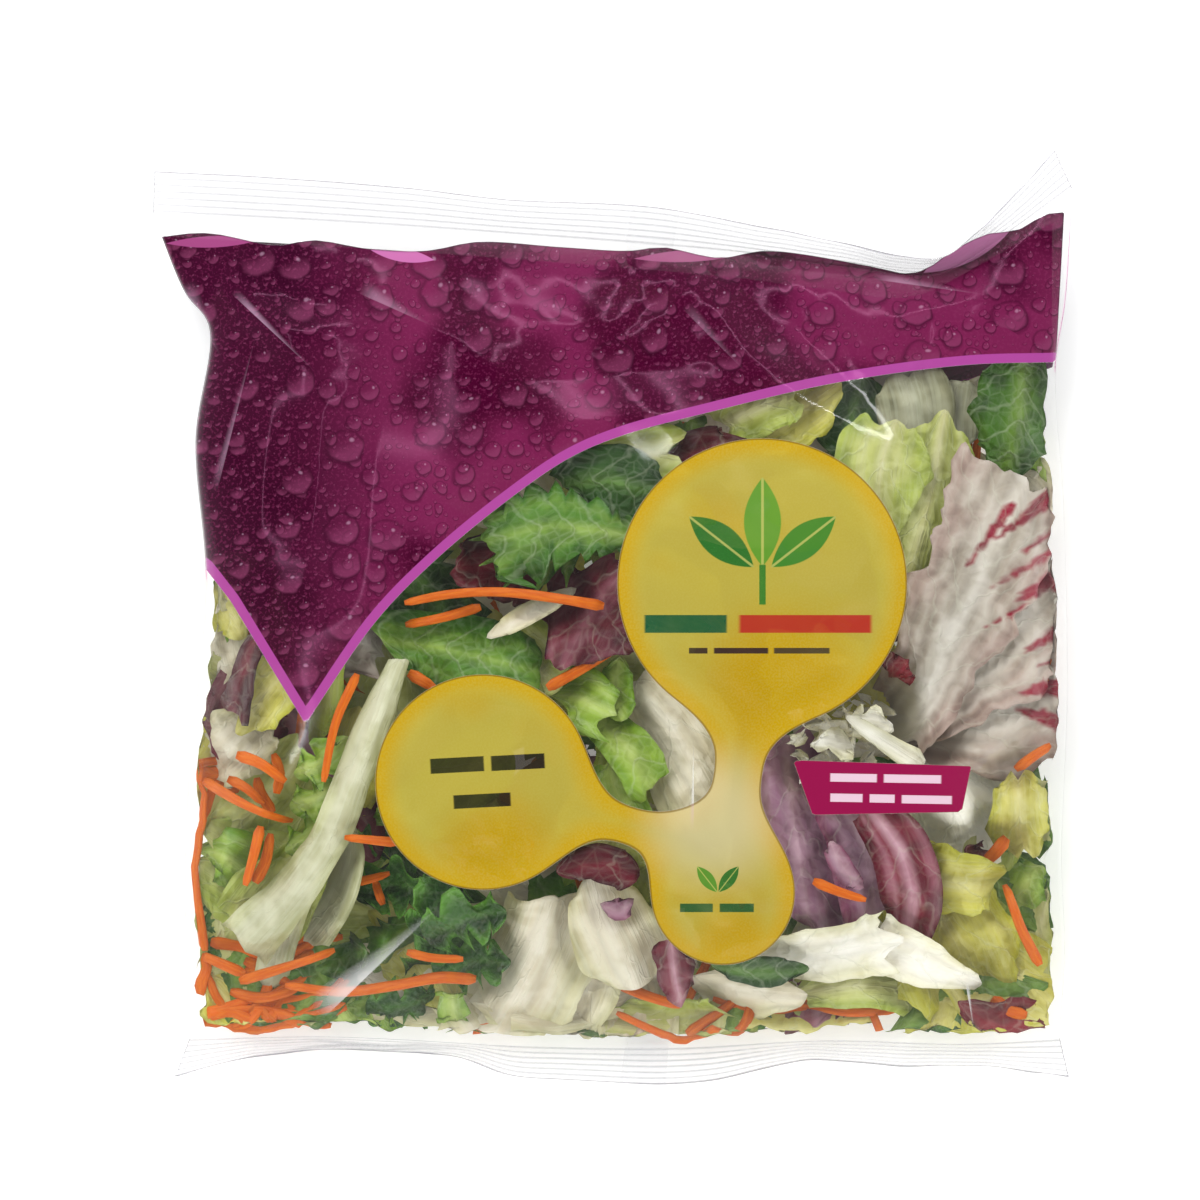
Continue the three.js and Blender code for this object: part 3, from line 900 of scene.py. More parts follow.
# rib, blade and edge colours
LOOKS = {
    "white": ((220, 214, 194), (212, 204, 178), (200, 196, 152)),
    "bright": ((240, 238, 226), (236, 233, 218), (224, 221, 186)),
    # shaded is white made darker and greyer: painted shade for pale pieces that lie in shadow
    "shaded": ((178, 178, 152), (158, 157, 128), (144, 143, 110)),
    "rib": ((198, 198, 168), (189, 189, 157), (182, 184, 138)),
    "lettuce": ((204, 202, 152), (180, 186, 102), (158, 174, 64)),
    "yellow": ((206, 200, 136), (194, 188, 86), (182, 180, 54)),
    "light": ((180, 196, 112), (138, 168, 52), (114, 154, 30)),
    "green": ((142, 168, 76), (76, 120, 30), (56, 104, 18)),
    "deep": ((104, 134, 40), (58, 100, 8), (42, 84, 2)),
    "dark": ((92, 128, 52), (38, 76, 16), (26, 60, 8)),
    "curl": ((70, 112, 40), (32, 74, 18), (92, 146, 46)),
    "red": ((208, 166, 178), (118, 18, 44), (92, 6, 30)),
    "maroon": ((112, 22, 40), (82, 8, 24), (62, 4, 16)),
    "mauve": ((190, 158, 168), (148, 106, 128), (124, 54, 86)),
    "crimson": ((138, 40, 52), (112, 8, 20), (92, 4, 14)),
    "wine": ((148, 92, 104), (98, 28, 44), (80, 14, 32)),
    "cream": ((210, 206, 194), (174, 164, 149), (162, 140, 128)),
}
STREAK = linear(134, 6, 40)
# how many broad ridges run along a leaf of each look
RIDGES = {
    "white": 4, "bright": 4, "shaded": 4, "rib": 2, "lettuce": 3, "yellow": 3, "light": 3, "green": 2,
    "deep": 2, "dark": 2, "curl": 2, "red": 3, "crimson": 3, "wine": 3, "maroon": 2, "mauve": 3, "cream": 6,
}
EDGE_LIFT = 1.3
LEAF_SEED_STEP = 1.37


class Kind:
    """All pieces of one kind, gathered into one mesh."""

    def __init__(self, name, material, slot):
        self.name, self.material, self.slot = name, material, slot
        self.verts, self.faces, self.uv, self.tint = [], [], [], []
        self.count = 0

    def take(self, verts, faces, uv, tint, ends=()):
        self.verts.append(verts)
        self.faces += (faces + self.count).tolist()
        self.faces += [[corner + self.count for corner in end] for end in ends]
        self.uv.append(uv)
        self.tint.append(tint)
        self.count += len(verts)

    def finish(self):
        made = new_object(
            self.name, np.concatenate(self.verts), self.faces, self.material,
            np.concatenate(self.uv), np.concatenate(self.tint),
        )
        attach(made, "root")
        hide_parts("bag")


def zigzag(x, seed):
    """Straight lines between random heights from -1 to 1 at whole numbers."""
    cell = np.floor(x)
    return scattered(cell, 0, seed) * (1 - x + cell) + scattered(cell + 1, 0, seed) * (x - cell)


def edge_shape(style, s, length, seed):
    """How far an outline reaches beside its plain width, along one side of a leaf."""
    at = s * length
    slow = 0.1 * noise(at / 14, seed, 3) + 0.05 * noise(at / 5, seed, 5)
    if style == "torn":
        return 1 + slow + 0.14 * zigzag(at / 4.5 + seed, 2) + 0.05 * zigzag(at / 1.7, seed + 6)
    if style == "cut":
        return 0.95 + 0.5 * slow + 0.16 * zigzag(at / 11 + seed, 3) + 0.02 * zigzag(at / 2, seed)
    if style == "toothed":
        saw = (at / 6.5 + 0.7 * noise(at / 17, seed, 7)) % 1
        return 1 + slow - 0.42 * (1 - saw) ** 1.5
    if style == "curly":
        lobes = (at / 8.5 + 0.8 * noise(at / 19, seed, 7)) % 1
        teeth = (at / 2.9) % 1
        return 1 + slow - 0.62 * np.abs(np.sin(math.pi * lobes)) ** 3 - 0.14 * teeth
    return 1 + slow


# Crimson streaks on the big creamy leaf: from its edge inwards, and half width at the edge
STREAKS = [
    [(124.4, 34.9), (105.6, 21.7), 2.6], [(111.1, 31.1), (97.4, 13.4), 1.6],
    [(123.3, 18.4), (104.5, 8.5), 1.2], [(123.8, 10.7), (111.1, 4.6), 2.8],
    [(115, 3.5), (102.3, -3.1), 0.9], [(124.9, -3.6), (115, -9.2), 1.9],
    [(126, -19.1), (112.8, -20.7), 2.9], [(124.4, -29), (111.1, -24.6), 2.6],
    [(124.9, 25), (112.2, 17.3), 1.0], [(124.9, -11.4), (117.8, -13.6), 0.9],
]


def streak_share(x, y):
    """How far each point lies in one of the tapering streaks."""
    share = np.zeros_like(x)
    for (x0, y0), (x1, y1), wide in STREAKS:
        length_squared = (x1 - x0) ** 2 + (y1 - y0) ** 2
        along = ((x - x0) * (x1 - x0) + (y - y0) * (y1 - y0)) / length_squared
        off = segment_distance(x, y, x0, y0, x1, y1) + 0.5 * noise(x / 1.7, y / 1.7, 3)
        reach = wide * np.clip(1 - along, 0, 1) ** 0.6
        share = np.maximum(share, smooth_step(off, reach + 0.25, reach - 0.45))
    return share


# How far a leaf's ends are torn and how far they bulge, by its kind of edge, where a call doesn't say
END_TEAR = {"torn": 3, "cut": 3}
END_BULGE = {"cut": 0}
PLAIN_END_BULGE = 4
# Distance between the points of a leaf that is shown in fine detail
FINE_STEP = 1.15


def leaf(
    kind, look, spine, widths, edge="smooth", drop=(0, 0), ruffle=1.5, wave=16, cup=0, crinkle=0.5,
    rib=1.6, thick=0.45, streaks=0, tip=None, side=1, step=1.5, tear=None, top_margin=TOP_MARGIN,
    ridge_height=0.3,
):
    """One leaf or piece of leaf under the film. spine is its midrib in plan and widths its half
    widths at even steps along it; drop is how far below the film its two ends lie."""
    tip = END_BULGE.get(edge, PLAIN_END_BULGE) if tip is None else tip
    tear = END_TEAR.get(edge, 0) if tear is None else tear
    seed = leaf.made * LEAF_SEED_STEP
    leaf.made += 1
    path = flat_curve(spine)
    length = curve_length(path, 40)
    rows = max(6, int(length / step) + 1)
    widest = max(widths)
    columns = max(5, int(2 * widest / step) // 2 * 2 + 1)
    s = np.linspace(0, 1, rows)
    t = np.linspace(-1, 1, columns)
    centre, forward, right = course(path, s)
    half = smooth_table(list(zip(np.linspace(0, 1, len(widths)), widths)), s)
    half_left = half * edge_shape(edge, s, length, seed)
    half_right = half * edge_shape(edge, s, length, seed + 40)
    reach = np.where(t[None] < 0, half_left[:, None], half_right[:, None]) * t[None]
    ends = tip * t[None] ** 2 * (smooth_step(s, 0.25, 0) - smooth_step(s, 0.7, 1))[:, None]
    if edge == "cut":
        slants = math.sin(seed * 7) * smooth_step(s, 0.6, 1) + math.sin(seed * 11) * smooth_step(s, 0.4, 0)
        ends = ends + 0.4 * widest * t[None] * slants[:, None]
    ragged = tear * (noise(reach / 5, 0 * reach, seed) + 0.5 * noise(reach / 1.9, 0 * reach, seed + 3))
    ends = ends + ragged * (smooth_step(s, 0.75, 1) - smooth_step(s, 0.25, 0))[:, None]
    x = centre[:, 0:1] + right[:, 0:1] * reach + forward[:, 0:1] * ends
    y = centre[:, 1:2] + right[:, 1:2] * reach + forward[:, 1:2] * ends
    along = s[:, None] * length
    far_out = np.abs(t)[None] ** 1.6
    phase = np.where(t[None] < 0, 0.0, 2.1) + seed
    frill = np.sin(math.tau * along / wave + phase + 1.5 * noise(along / wave, t[None] * 2, seed))
    relief = ruffle * far_out * frill
    folds = 2 * (1 - 2 * np.abs(noise(x / 13, y / 13, seed + 6)))
    small = 0.8 * noise(x / 6, y / 6, seed) + 0.3 * noise(x / 2.8, y / 2.8, seed + 9)
    relief = relief + crinkle * (small + folds)
    relief = 0.7 * relief + (cup - EDGE_LIFT) * (1 - t[None] ** 2)
    waves = np.cos(math.pi * RIDGES[look] * t[None] + 1.2 * noise(along / 24, 0 * along, seed) + seed)
    relief = relief + ridge_height * waves
    sideways_curl = 0.35 * ruffle * far_out * np.cos(math.tau * along / wave + phase)
    x = x + forward[:, 0:1] * sideways_curl
    y = y + forward[:, 1:2] * sideways_curl
    x, y = keep_inside(x, y, seed, top_margin)
    fall = drop[0] + (drop[1] - drop[0]) * s[:, None] + relief.max() - relief
    free = near[side]
    soft = blurred(lowest_around(free, 2), 1)
    z = np.minimum(sample(soft, x, y), sample(free, x, y)) - fall
    rib_share = np.exp(-((reach / rib) ** 2)) * (1 - 0.55 * s[:, None])
    body = thick + 0.9 * thick * rib_share * min(rib, 4)
    z = np.maximum(z, -sample(near[-side], x, y) + body)
    z = np.minimum(z, sample(room[side], x, y))
    body = np.clip(z + sample(room[-side], x, y), MIN_THICKNESS, body)
    lower(free, x.ravel(), y.ravel(), (z - body).ravel() - CLEARANCE)
    colours = [linear(*colour) for colour in LOOKS[look]]
    margin = smooth_step(np.abs(t)[None] + 0.25 * noise(x / 7, y / 7, seed + 2), 0.3, 1.05)[..., None]
    tint = colours[1] * (1 - margin) + colours[2] * margin
    # Crests of the broad ridges turn towards the rib colour, partly paler ribs and partly painted highlight;
    # the troughs get painted shade
    pale_rib_and_highlight = smooth_step(waves, 0.1, 1.0) * (1 - 0.5 * margin[..., 0]) * min(1, 2.2 * ridge_height)
    pale_rib_and_highlight = pale_rib_and_highlight[..., None]
    tint = tint * (1 - 0.5 * pale_rib_and_highlight) + colours[0] * 0.5 * pale_rib_and_highlight
    tint = tint * (1 - 0.2 * smooth_step(-waves, 0.2, 1.0) * min(1, 2.5 * ridge_height))[..., None]
    tint = tint * (1 - rib_share[..., None]) + colours[0] * rib_share[..., None]
    if streaks:
        share = streak_share(x, y)[..., None]
        tint = tint * (1 - share) + STREAK * share
    tone = 1 + 0.09 * noise(x / 16, y / 16, seed + 5) + 0.05 * math.sin(seed * 5)
    tint = np.clip(tint * tone[..., None], 0, 1)
    uv = np.stack([reach, along + 0 * reach], -1)
    near_face = np.stack([x, y, side * z], -1).reshape(-1, 3)
    far_face = np.stack([x, y, side * (z - body)], -1).reshape(-1, 3)
    kind.take(*solid_sheet(near_face, far_face, rows, columns, uv, tint, side))


leaf.made = 0


def solid_sheet(near_face, far_face, rows, columns, uv, tint, side):
    """Joins the two faces of a thin solid round its rim."""
    count = rows * columns
    quads = grid_quads(rows, columns)
    other = quads[:, ::-1] + count
    ring = np.concatenate([
        np.arange(columns), np.arange(1, rows) * columns + columns - 1,
        np.arange(columns - 2, -1, -1) + (rows - 1) * columns, np.arange(rows - 2, 0, -1) * columns,
    ])
    following = np.roll(ring, -1)
    rim = np.stack([ring + count, following + count, following, ring], -1)
    faces = np.concatenate([quads, other, rim])
    if side > 0:
        faces = faces[:, ::-1] if not counter_clockwise(near_face, quads) else faces
    elif counter_clockwise(near_face, quads):
        faces = faces[:, ::-1]
    uv = uv.reshape(-1, 2)
    tint = tint.reshape(-1, 3)
    points = np.concatenate([near_face, far_face])
    return points, faces, np.concatenate([uv, uv]), np.concatenate([tint, tint])


def counter_clockwise(points, quads):
    a, b, c = points[quads[:, 0]], points[quads[:, 1]], points[quads[:, 2]]
    return np.cross(b - a, c - a)[:, 2].sum() > 0


SHRED_SEED_STEP = 2.11
SHRED_CORNERS = 12
SHRED_ROW = 1.8
SHRED_DEPTH = 1.9
SHRED_TOP_MARGIN = 3
CARROT_COLOUR = linear(190, 86, 0)


def shred(spine, width=3, drop=0, side=1, tone=1):
    """A shred of carrot: a strip of rounded square section."""
    seed = shred.made * SHRED_SEED_STEP
    shred.made += 1
    path = flat_curve(spine)
    length = curve_length(path, 30)
    rows = max(5, int(length / SHRED_ROW) + 1)
    s = np.linspace(0, 1, rows)
    centre, _, right = course(path, s)
    angle = (np.arange(SHRED_CORNERS) + 0.5) / SHRED_CORNERS * math.tau
    square = (np.abs(np.cos(angle)) ** 8 + np.abs(np.sin(angle)) ** 8) ** (-1 / 8)
    taper = np.minimum(1, np.minimum(s, 1 - s) * length / 1.3 + 0.6)
    slim = 1 - 0.3 * s if shred.made % 2 else 0.75 + 0.25 * s
    profile = taper * slim * (1 + 0.12 * noise(s * length / 9, seed))
    a = width / 2 * profile[:, None] * (np.cos(angle) * square)[None]
    b = SHRED_DEPTH / 2 * profile[:, None] * (np.sin(angle) * square)[None]
    twist = 0.5 * noise(s * length / 25, seed + 5)[:, None]
    a, b = a * np.cos(twist) - b * np.sin(twist), a * np.sin(twist) + b * np.cos(twist)
    inside_x, inside_y = keep_inside(centre[:, 0], centre[:, 1], 0, SHRED_TOP_MARGIN)
    centre = np.column_stack([inside_x, inside_y])
    x = centre[:, 0:1] + right[:, 0:1] * a
    y = centre[:, 1:2] + right[:, 1:2] * a
    free = near[side]
    soft = blurred(lowest_around(free, 1), 1)
    roof = np.minimum(sample(soft, x, y), sample(free, x, y)).min(axis=1)
    roof = np.minimum(roof, np.minimum(np.roll(roof, 1), np.roll(roof, -1)))
    padded = np.pad(roof, 3, "edge")
    roof = np.minimum(roof, sum(padded[k:k + rows] for k in range(7)) / 7)
    floor = -sample(near[-side], centre[:, 0], centre[:, 1]) + SHRED_DEPTH / 2
    middle = np.maximum(roof - drop - SHRED_DEPTH / 2, floor)
    middle = np.minimum(middle, sample(room[side], x, y).min(axis=1) - SHRED_DEPTH / 2)[:, None]
    z = middle + b
    lower(free, x.ravel(), y.ravel(), np.broadcast_to(middle - SHRED_DEPTH / 2 - CLEARANCE, z.shape).ravel())
    verts = np.stack([x, y, side * z], -1).reshape(-1, 3)
    faces = grid_quads(rows, SHRED_CORNERS, closed=True)
    first = np.arange(SHRED_CORNERS)
    last = first[::-1] + (rows - 1) * SHRED_CORNERS
    outwards = side > 0
    faces = faces if outwards else faces[:, ::-1]
    ends = [first.tolist(), last.tolist()] if outwards else [first[::-1].tolist(), last[::-1].tolist()]
    uv = np.stack([a, 0 * a + s[:, None] * length], -1).reshape(-1, 2)
    base = CARROT_COLOUR * (1 + 0.22 * math.sin(seed * 3)) * tone
    tint = np.broadcast_to(np.clip(base, 0, 1), verts.shape)
    carrot.take(verts, faces, uv, tint, ends)


shred.made = 0


FRILL = 2.4


def curly(look, spine, widths, seed, gap=6.5, drop=(0, 1)):
    """A finely cut leaf: narrow toothed lobes on both sides of a midrib."""
    draw = random.Random(seed)
    path = flat_curve(spine)
    length = curve_length(path, 30)
    count = max(3, int(length / gap))
    for i in range(count, 0, -1):
        s = i / count
        base = path(np.array([s]))[0][:2]
        ahead = path(np.array([min(1, s + 0.02)]))[0][:2] - path(np.array([s - 0.02]))[0][:2]
        ahead /= np.linalg.norm(ahead)
        reach = float(np.interp(s, np.linspace(0, 1, len(widths)), widths))
        for hand in (-1, 1):
            out = np.array((ahead[1], -ahead[0])) * hand
            angle = math.radians(draw.uniform(28, 62))
            first = base + reach * 0.5 * (math.cos(angle) * out + math.sin(angle) * ahead)
            angle += math.radians(draw.uniform(-25, 35))
            last = first + reach * draw.uniform(0.4, 0.62) * (math.cos(angle) * out + math.sin(angle) * ahead)
            fat = reach * draw.uniform(0.2, 0.3)
            depth = draw.uniform(0, 1.3)
            leaf(frisee, look, [tuple(base), tuple(first), tuple(last)], (1.0, fat, fat * 1.1, 1.6), "curly",
                 (drop[0] + depth, drop[1] + depth), FRILL, 8.5, 1.0, 0.3, 0.9, 0.4, step=FINE_STEP)
    leaf(frisee, look, spine, (2.2, 1.9, 1.3), "smooth", drop, 0.2, 20, 0.8, 0.2, 1.6, 0.9)


# What shows through the front, region by region, from the film inwards

# Shreds heaped on the left and in the lower left corner: middle x, y, length, degrees
CARROT_HEAP = [
    (-112, -42, 17, 12), (-107, -46, 20, -24), (-102, -41, 18, 32), (-98, -47, 15, -62), (-113, -50, 12, 70),
    (-95, -52, 16, 8), (-109, -109, 20, 16), (-99, -112, 22, -8), (-91, -106, 24, 24), (-84, -110, 18, 4),
    (-96, -101, 18, -30), (-79, -103, 18, 40), (-105, -95, 18, -26),
    (-94, -97, 20, 14), (-100, -73, 17, 76), (-95, -80, 16, 58), (-117, -100, 12, 80),
]


# Midribs of the dark curly leaf's parts, from the top one down
CURL_SPINES = [
    [(-29.4, -80.8), (-41.5, -83.6), (-52, -89.6)], [(-40.4, -71.4), (-47.6, -78.6), (-54.8, -88.5)],
    [(-28.3, -95.7), (-39.3, -96.2), (-49.8, -100.6)], [(-47.6, -105.1), (-57.5, -108.9), (-69.6, -109.5)],
    [(-50.4, -77.5), (-60.8, -74.7), (-72.4, -77.5)], [(-34.9, -85.8), (-47.6, -94), (-58.6, -102.3)],
]


def fill_left():
    shred([(-57.2, -92.7), (-50.4, -94.3), (-41.5, -94.6)])
    shred([(-91.7, -102.6), (-75.4, -104.5), (-60.8, -102.6), (-47.6, -100.1), (-38.2, -100.9)], 3.2)
    shred([(-104.6, -101.7), (-91.7, -97.6), (-77.9, -92.9)], 3.2)
    leaf(lettuce, "light", [(-44.3, -100.9), (-44.8, -107.8), (-43.2, -117.7)], (4, 5.5, 5), "toothed",
         (0.1, 0.3), 1, 9, tear=4)
    shred([(-116.5, -94.3), (-110.2, -96.8), (-103.3, -99.8)])
    shred([(-70.5, -15.2), (-76.3, -28.4), (-79.8, -45)], 2.8)
    shred([(-74.1, -60.4), (-59.4, -61.8)], 2.9)
    shred([(-114.8, -45.3), (-101.1, -52.1), (-89.5, -56.6)])
    shred([(-115.4, -40), (-116.8, -54.1), (-117.3, -69.2), (-114.8, -93.5)], 2.4)
    shred([(-114.8, -112.2), (-108.2, -110.8), (-101.1, -113)], 3.6)
    shred([(-113.7, -100.6), (-112.1, -105.6), (-109.3, -110)], tone=0.85)
    shred([(-107.7, -105.1), (-100, -106.7), (-88.9, -104.5)], 3.2, tone=0.9)
    shred([(-101.1, -118.3), (-93.1, -115.3), (-84.5, -110.3)], 3.8)
    shred([(-97.8, -57.7), (-99.7, -65.9), (-102.2, -74.2)], 3.2)
    shred([(-95.2, -59.8), (-96.6, -67.5), (-99.6, -73.5)], 3.6, tone=0.72)
    shred([(-104.5, -37.8), (-97.5, -40.2), (-90.8, -45.2)], 3.6)
    shred([(-94.2, -37.5), (-92.6, -42.5), (-93.4, -48.6)], 3.2, tone=0.84)
    shred([(-107.6, -44.8), (-102.4, -47.2), (-97.4, -51.8)], 3.4, tone=0.9)
    shred([(-99.5, -44.5), (-98.6, -48.6), (-95.2, -54.4)], 3.4, tone=0.76)
    shred([(-116.2, -117.2), (-109.4, -115.2), (-103.2, -111.6)], 4, tone=0.88)
    shred([(-99.8, -108.6), (-96.2, -113.6), (-90.8, -117.4)], 3.8, tone=0.78)
    shred([(-92.6, -109.4), (-86.4, -113.2), (-79.2, -115.4)], 3.6, tone=0.94)
    shred([(-107.4, -113.2), (-103.8, -117.6), (-97.6, -119.6)], 3.8, tone=0.8)
    leaf(chicory, "rib", [(-59.2, -11.9), (-64.7, -25.7), (-71, -41.7), (-78.5, -60.4), (-88.9, -75.3),
         (-103.3, -91.3)], (2.8, 5.2, 5.2, 5.6, 6.8, 8.4), "smooth", (0, 0.5), 0.4, 30, 3.2, 0.3, 2.4, 1.2,
         tip=0, tear=1.5, ridge_height=0.12)
    leaf(chicory, "rib", [(-77.9, -59.9), (-87.3, -74.7), (-92.8, -88.5), (-96.6, -102.9)],
         (3.5, 5, 5.4, 4.6), "smooth", (0.8, 0.5), 0.4, 30, 2.6, 0.3, 2, 1, tip=0, tear=2, ridge_height=0.12)
    leaf(lettuce, "light", [(-72.9, -32.9), (-80.1, -40), (-88.9, -43.3)], (5, 8, 5), "curly", (0.1, 0.2),
         2.2, 8.5, 1, 0.4, step=FINE_STEP)
    leaf(lettuce, "light", [(-74.6, -43.9), (-81.8, -49.9), (-90.6, -53.2)], (5, 9, 5), "curly", (0.1, 0.2),
         2.2, 8.5, 1, 0.4, step=FINE_STEP)
    leaf(lettuce, "light", [(-77.9, -53.2), (-85.1, -60.4), (-91.7, -65.4)], (5, 8, 5), "curly", (0.1, 0.3),
         2.2, 8.5, 1, 0.4, step=FINE_STEP)
    leaf(lettuce, "lettuce", [(-82.9, -63.7), (-97.8, -81.9), (-110.4, -98.4)], (6, 13, 13), "cut",
         (1.2, 0.6), 1.2, 24, 1)
    leaf(chicory, "rib", [(-75.7, -55.4), (-73.5, -67), (-77.9, -80.3), (-86.2, -91.8)], (3.6, 4.6, 4.8, 5.2),
         "smooth", (1.4, 0.5), 0.5, 30, 2.4, 0.3, 2, 1, tear=2, ridge_height=0.12)
    leaf(radicchio, "maroon", [(-96.1, 0.8), (-101.6, -12.5), (-106.6, -28.4)], (1.6, 3.6, 5.4), "torn",
         (0, 0.2), 1.2, 9, 0.8, 0.4, 0.8, tear=4)
    leaf(lettuce, "yellow", [(-90, -13.6), (-97.8, -22.4), (-103.3, -29.5)], (8, 9, 6), "torn", (1, 1), 1.2)
    leaf(lettuce, "white", [(-96.6, -26.8), (-106, -35.6), (-114.8, -42.8)], (8, 11, 8), "torn", (1.5, 0.3),
         1.6)
    leaf(lettuce, "yellow", [(-112.4, 14.6), (-109.3, 5.2), (-103.3, -5.8)], (5, 7, 5), "toothed", (0, 1),
         1.6, 9)
    leaf(lettuce, "white", [(-112.6, 2.4), (-110.4, -11.4), (-106, -24.6)], (6, 9, 5), "torn", (0.6, 1), 1.8)
    leaf(lettuce, "light", [(-114.8, -65.4), (-107.7, -67), (-99.4, -75.3)], (5, 9, 7), "torn", (0.5, 1.5))
    leaf(lettuce, "lettuce", [(-86.2, -36.7), (-96.6, -49.9), (-109.9, -61.5)], (9, 14, 10), "torn", (2, 1),
         2, tear=4)
    leaf(lettuce, "lettuce", [(-109.9, -72), (-110.4, -85.8), (-104.9, -102.3)], (7, 11, 8), "torn", (2, 1),
         2, tear=4)
    leaf(lettuce, "yellow", [(-112.6, -102.3), (-106.6, -109.5), (-100.5, -115)], (6, 9, 6), "torn", (1, 1))
    shred([(-101.1, -94), (-88.9, -90.7), (-76.3, -90.2)], 3.4, 1.5)
    shred([(-103.8, -107.3), (-91.7, -108.4), (-77.9, -105.6)], 3.6, 1)
    shred([(-96.6, -102.3), (-100, -110.6), (-105.5, -117.2)], 3.2, 1.5)
    shred([(-109.9, -41.7), (-100.5, -40), (-91.1, -41.7)], 3.4, 1)
    shred([(-72.7, -74.2), (-62.5, -71.4)], 3, 0.5)
    shred([(-66.9, -73.1), (-64.4, -80.3)], 2.8, 0.2)
    for number, spine in enumerate(CURL_SPINES):
        leaf(frisee, "curl", spine, (5, 9, 10, 6), "curly", (0.1 + 0.3 * number, 0.4 + 0.3 * number), 3.4,
             8.5, 1.2, 0.6, 1.0, 0.4, tip=2, step=1.1)
    leaf(green, "dark", [(-68.5, -92.5), (-79.5, -97.5), (-91.5, -103)], (6, 10, 8), "toothed", (0.9, 0.9),
         2.2, 12)
    leaf(green, "green", [(-64, -106), (-74, -110.5), (-86, -113.5)], (6, 8, 6), "toothed", (0.8, 0.9), 2.2,
         12)
    leaf(green, "green", [(-55.9, -85.8), (-65.2, -96.2), (-71.8, -112.2)], (7, 12, 9), "toothed", (0.8, 1.2),
         2.2, 13)
    leaf(green, "dark", [(-37.1, -85.8), (-53.1, -89.9), (-69.6, -97.3), (-80.1, -107.8)], (8, 15, 18, 9),
         "toothed", (1, 2), 3, 12)
    curly("curl", [(-34.9, -78.9), (-50.4, -77.5), (-66.9, -75.3), (-80.1, -69.8)], (12, 17, 17, 12),
          seed=5, drop=(1, 2))
    shred([(-86.2, -22.4), (-87.3, -29.5), (-88.9, -35.6)], 3, 0.4)
    shred([(-112.6, -43.9), (-103.8, -42.2), (-94.4, -43.3)], 4.4, 0.6)
    shred([(-109.9, -47.7), (-100, -47.2), (-90.6, -44.4)], 4, 1.2)
    shred([(-96.6, -40), (-93.9, -44.4), (-92.2, -49.9)], 3.6, 0.8)
    for x, y, length, degrees in CARROT_HEAP:
        reach = (length / 2 * math.cos(math.radians(degrees)), length / 2 * math.sin(math.radians(degrees)))
        bend = 0.12 * length
        middle = (x + bend * math.sin(x), y + bend * math.cos(y))
        spine = [(x - reach[0], y - reach[1]), middle, (x + reach[0], y + reach[1])]
        shred(spine, 3.6, 1.0 + 0.5 * math.sin(x * y), tone=0.82 + 0.18 * math.sin(x + y))
    shred([(-86.2, -60.4), (-90, -68.1), (-96.6, -77.5)], 3.2, 2)
    shred([(-99.4, -97.9), (-90, -94.6), (-81.2, -89.6)], 3.6, 0.8)
    shred([(-77.9, -106.2), (-88.9, -107.8), (-100, -107.3)], 3.4, 1)
    shred([(-112.1, -114.4), (-104.9, -116.1), (-96.6, -116.1)], 3.8, 0.6)
    shred([(-86.2, -100.6), (-91.7, -106.7), (-96.6, -113.3)], 3.4, 1.6)
    shred([(-81.2, -108.4), (-86.2, -111.7), (-90.6, -116.1)], 3.6, 0.8)
    shred([(-65.2, -79.7), (-72.4, -77.5), (-77.9, -80.8)], 3, 2)
    shred([(-39.3, -117.7), (-31.1, -118.8), (-23.3, -117.2)], 3, 0.8)


def fill_bottom():
    leaf(radicchio, "red", [(16.3, -90.2), (17.4, -99), (19.1, -107.8)], (5.5, 5, 3.5), "torn", (0.5, 0),
         wave=9, rib=1.1)
    leaf(radicchio, "maroon", [(-15.6, -69.8), (-4.6, -67.6), (7.5, -70.9)], (3.5, 5, 5), "torn", (0.6, 1), 1,
         tear=0)
    shred([(-0.2, -68.1), (3.1, -73.1)], 5, 0.2)
    leaf(radicchio, "mauve", [(-3.5, -78.9), (1.5, -80.8), (5.9, -77.5)], (2, 3, 2), "torn", (0.2, 0.2), 0.8,
         tear=0)
    leaf(chicory, "white", [(-4.6, -69.8), (-1.8, -80.3), (3.1, -91.3), (7.5, -103.4)], (7, 11.5, 13, 8),
         "smooth", (0.3, 1), 0.5, 30, 4, 0.5, 4, 1.6)
    leaf(chicory, "white", [(-14.5, -76.4), (-20, -91.3), (-26.9, -105.1), (-33.8, -117.7)], (14, 17, 17, 15),
         "cut", (0.6, 0.3), 0.6, 30, 1.6, 0.5, 4, 1.4, tear=2)
    leaf(lettuce, "white", [(-3.5, -88.5), (-6.3, -99.5), (-11.8, -113.3)], (8, 10, 8), "cut", (0.8, 0.4),
         0.8, 30, 1.2, tear=2)
    shred([(1.2, -102.6), (9.7, -105.9), (19.1, -108.9)], 3.3)
    shred([(1.2, -111.1), (11.7, -116.1), (22.1, -120.2), (30.1, -119.1)], 2.6)
    leaf(lettuce, "lettuce", [(-6.3, -113.3), (10.3, -115), (32.3, -113.3)], (4, 8, 7), "torn", (0.5, 0.5),
         1.2, tear=4)
    leaf(green, "dark", [(-10.7, -115.5), (-6.3, -116.6), (-1.8, -117.7)], (2, 4, 2), "torn", (0.5, 0.5), 0.8,
         tear=0)
    leaf(green, "dark", [(27.4, -96.2), (40.6, -98.2), (54.9, -97.6)], (2.5, 4.5, 2.5), "torn", (0.6, 0.3), 1,
         tear=0)
    leaf(lettuce, "white", [(25.7, -100.9), (37.8, -103.7), (51.6, -105.1)], (7, 9, 6), "torn", (1, 1), 1.4)


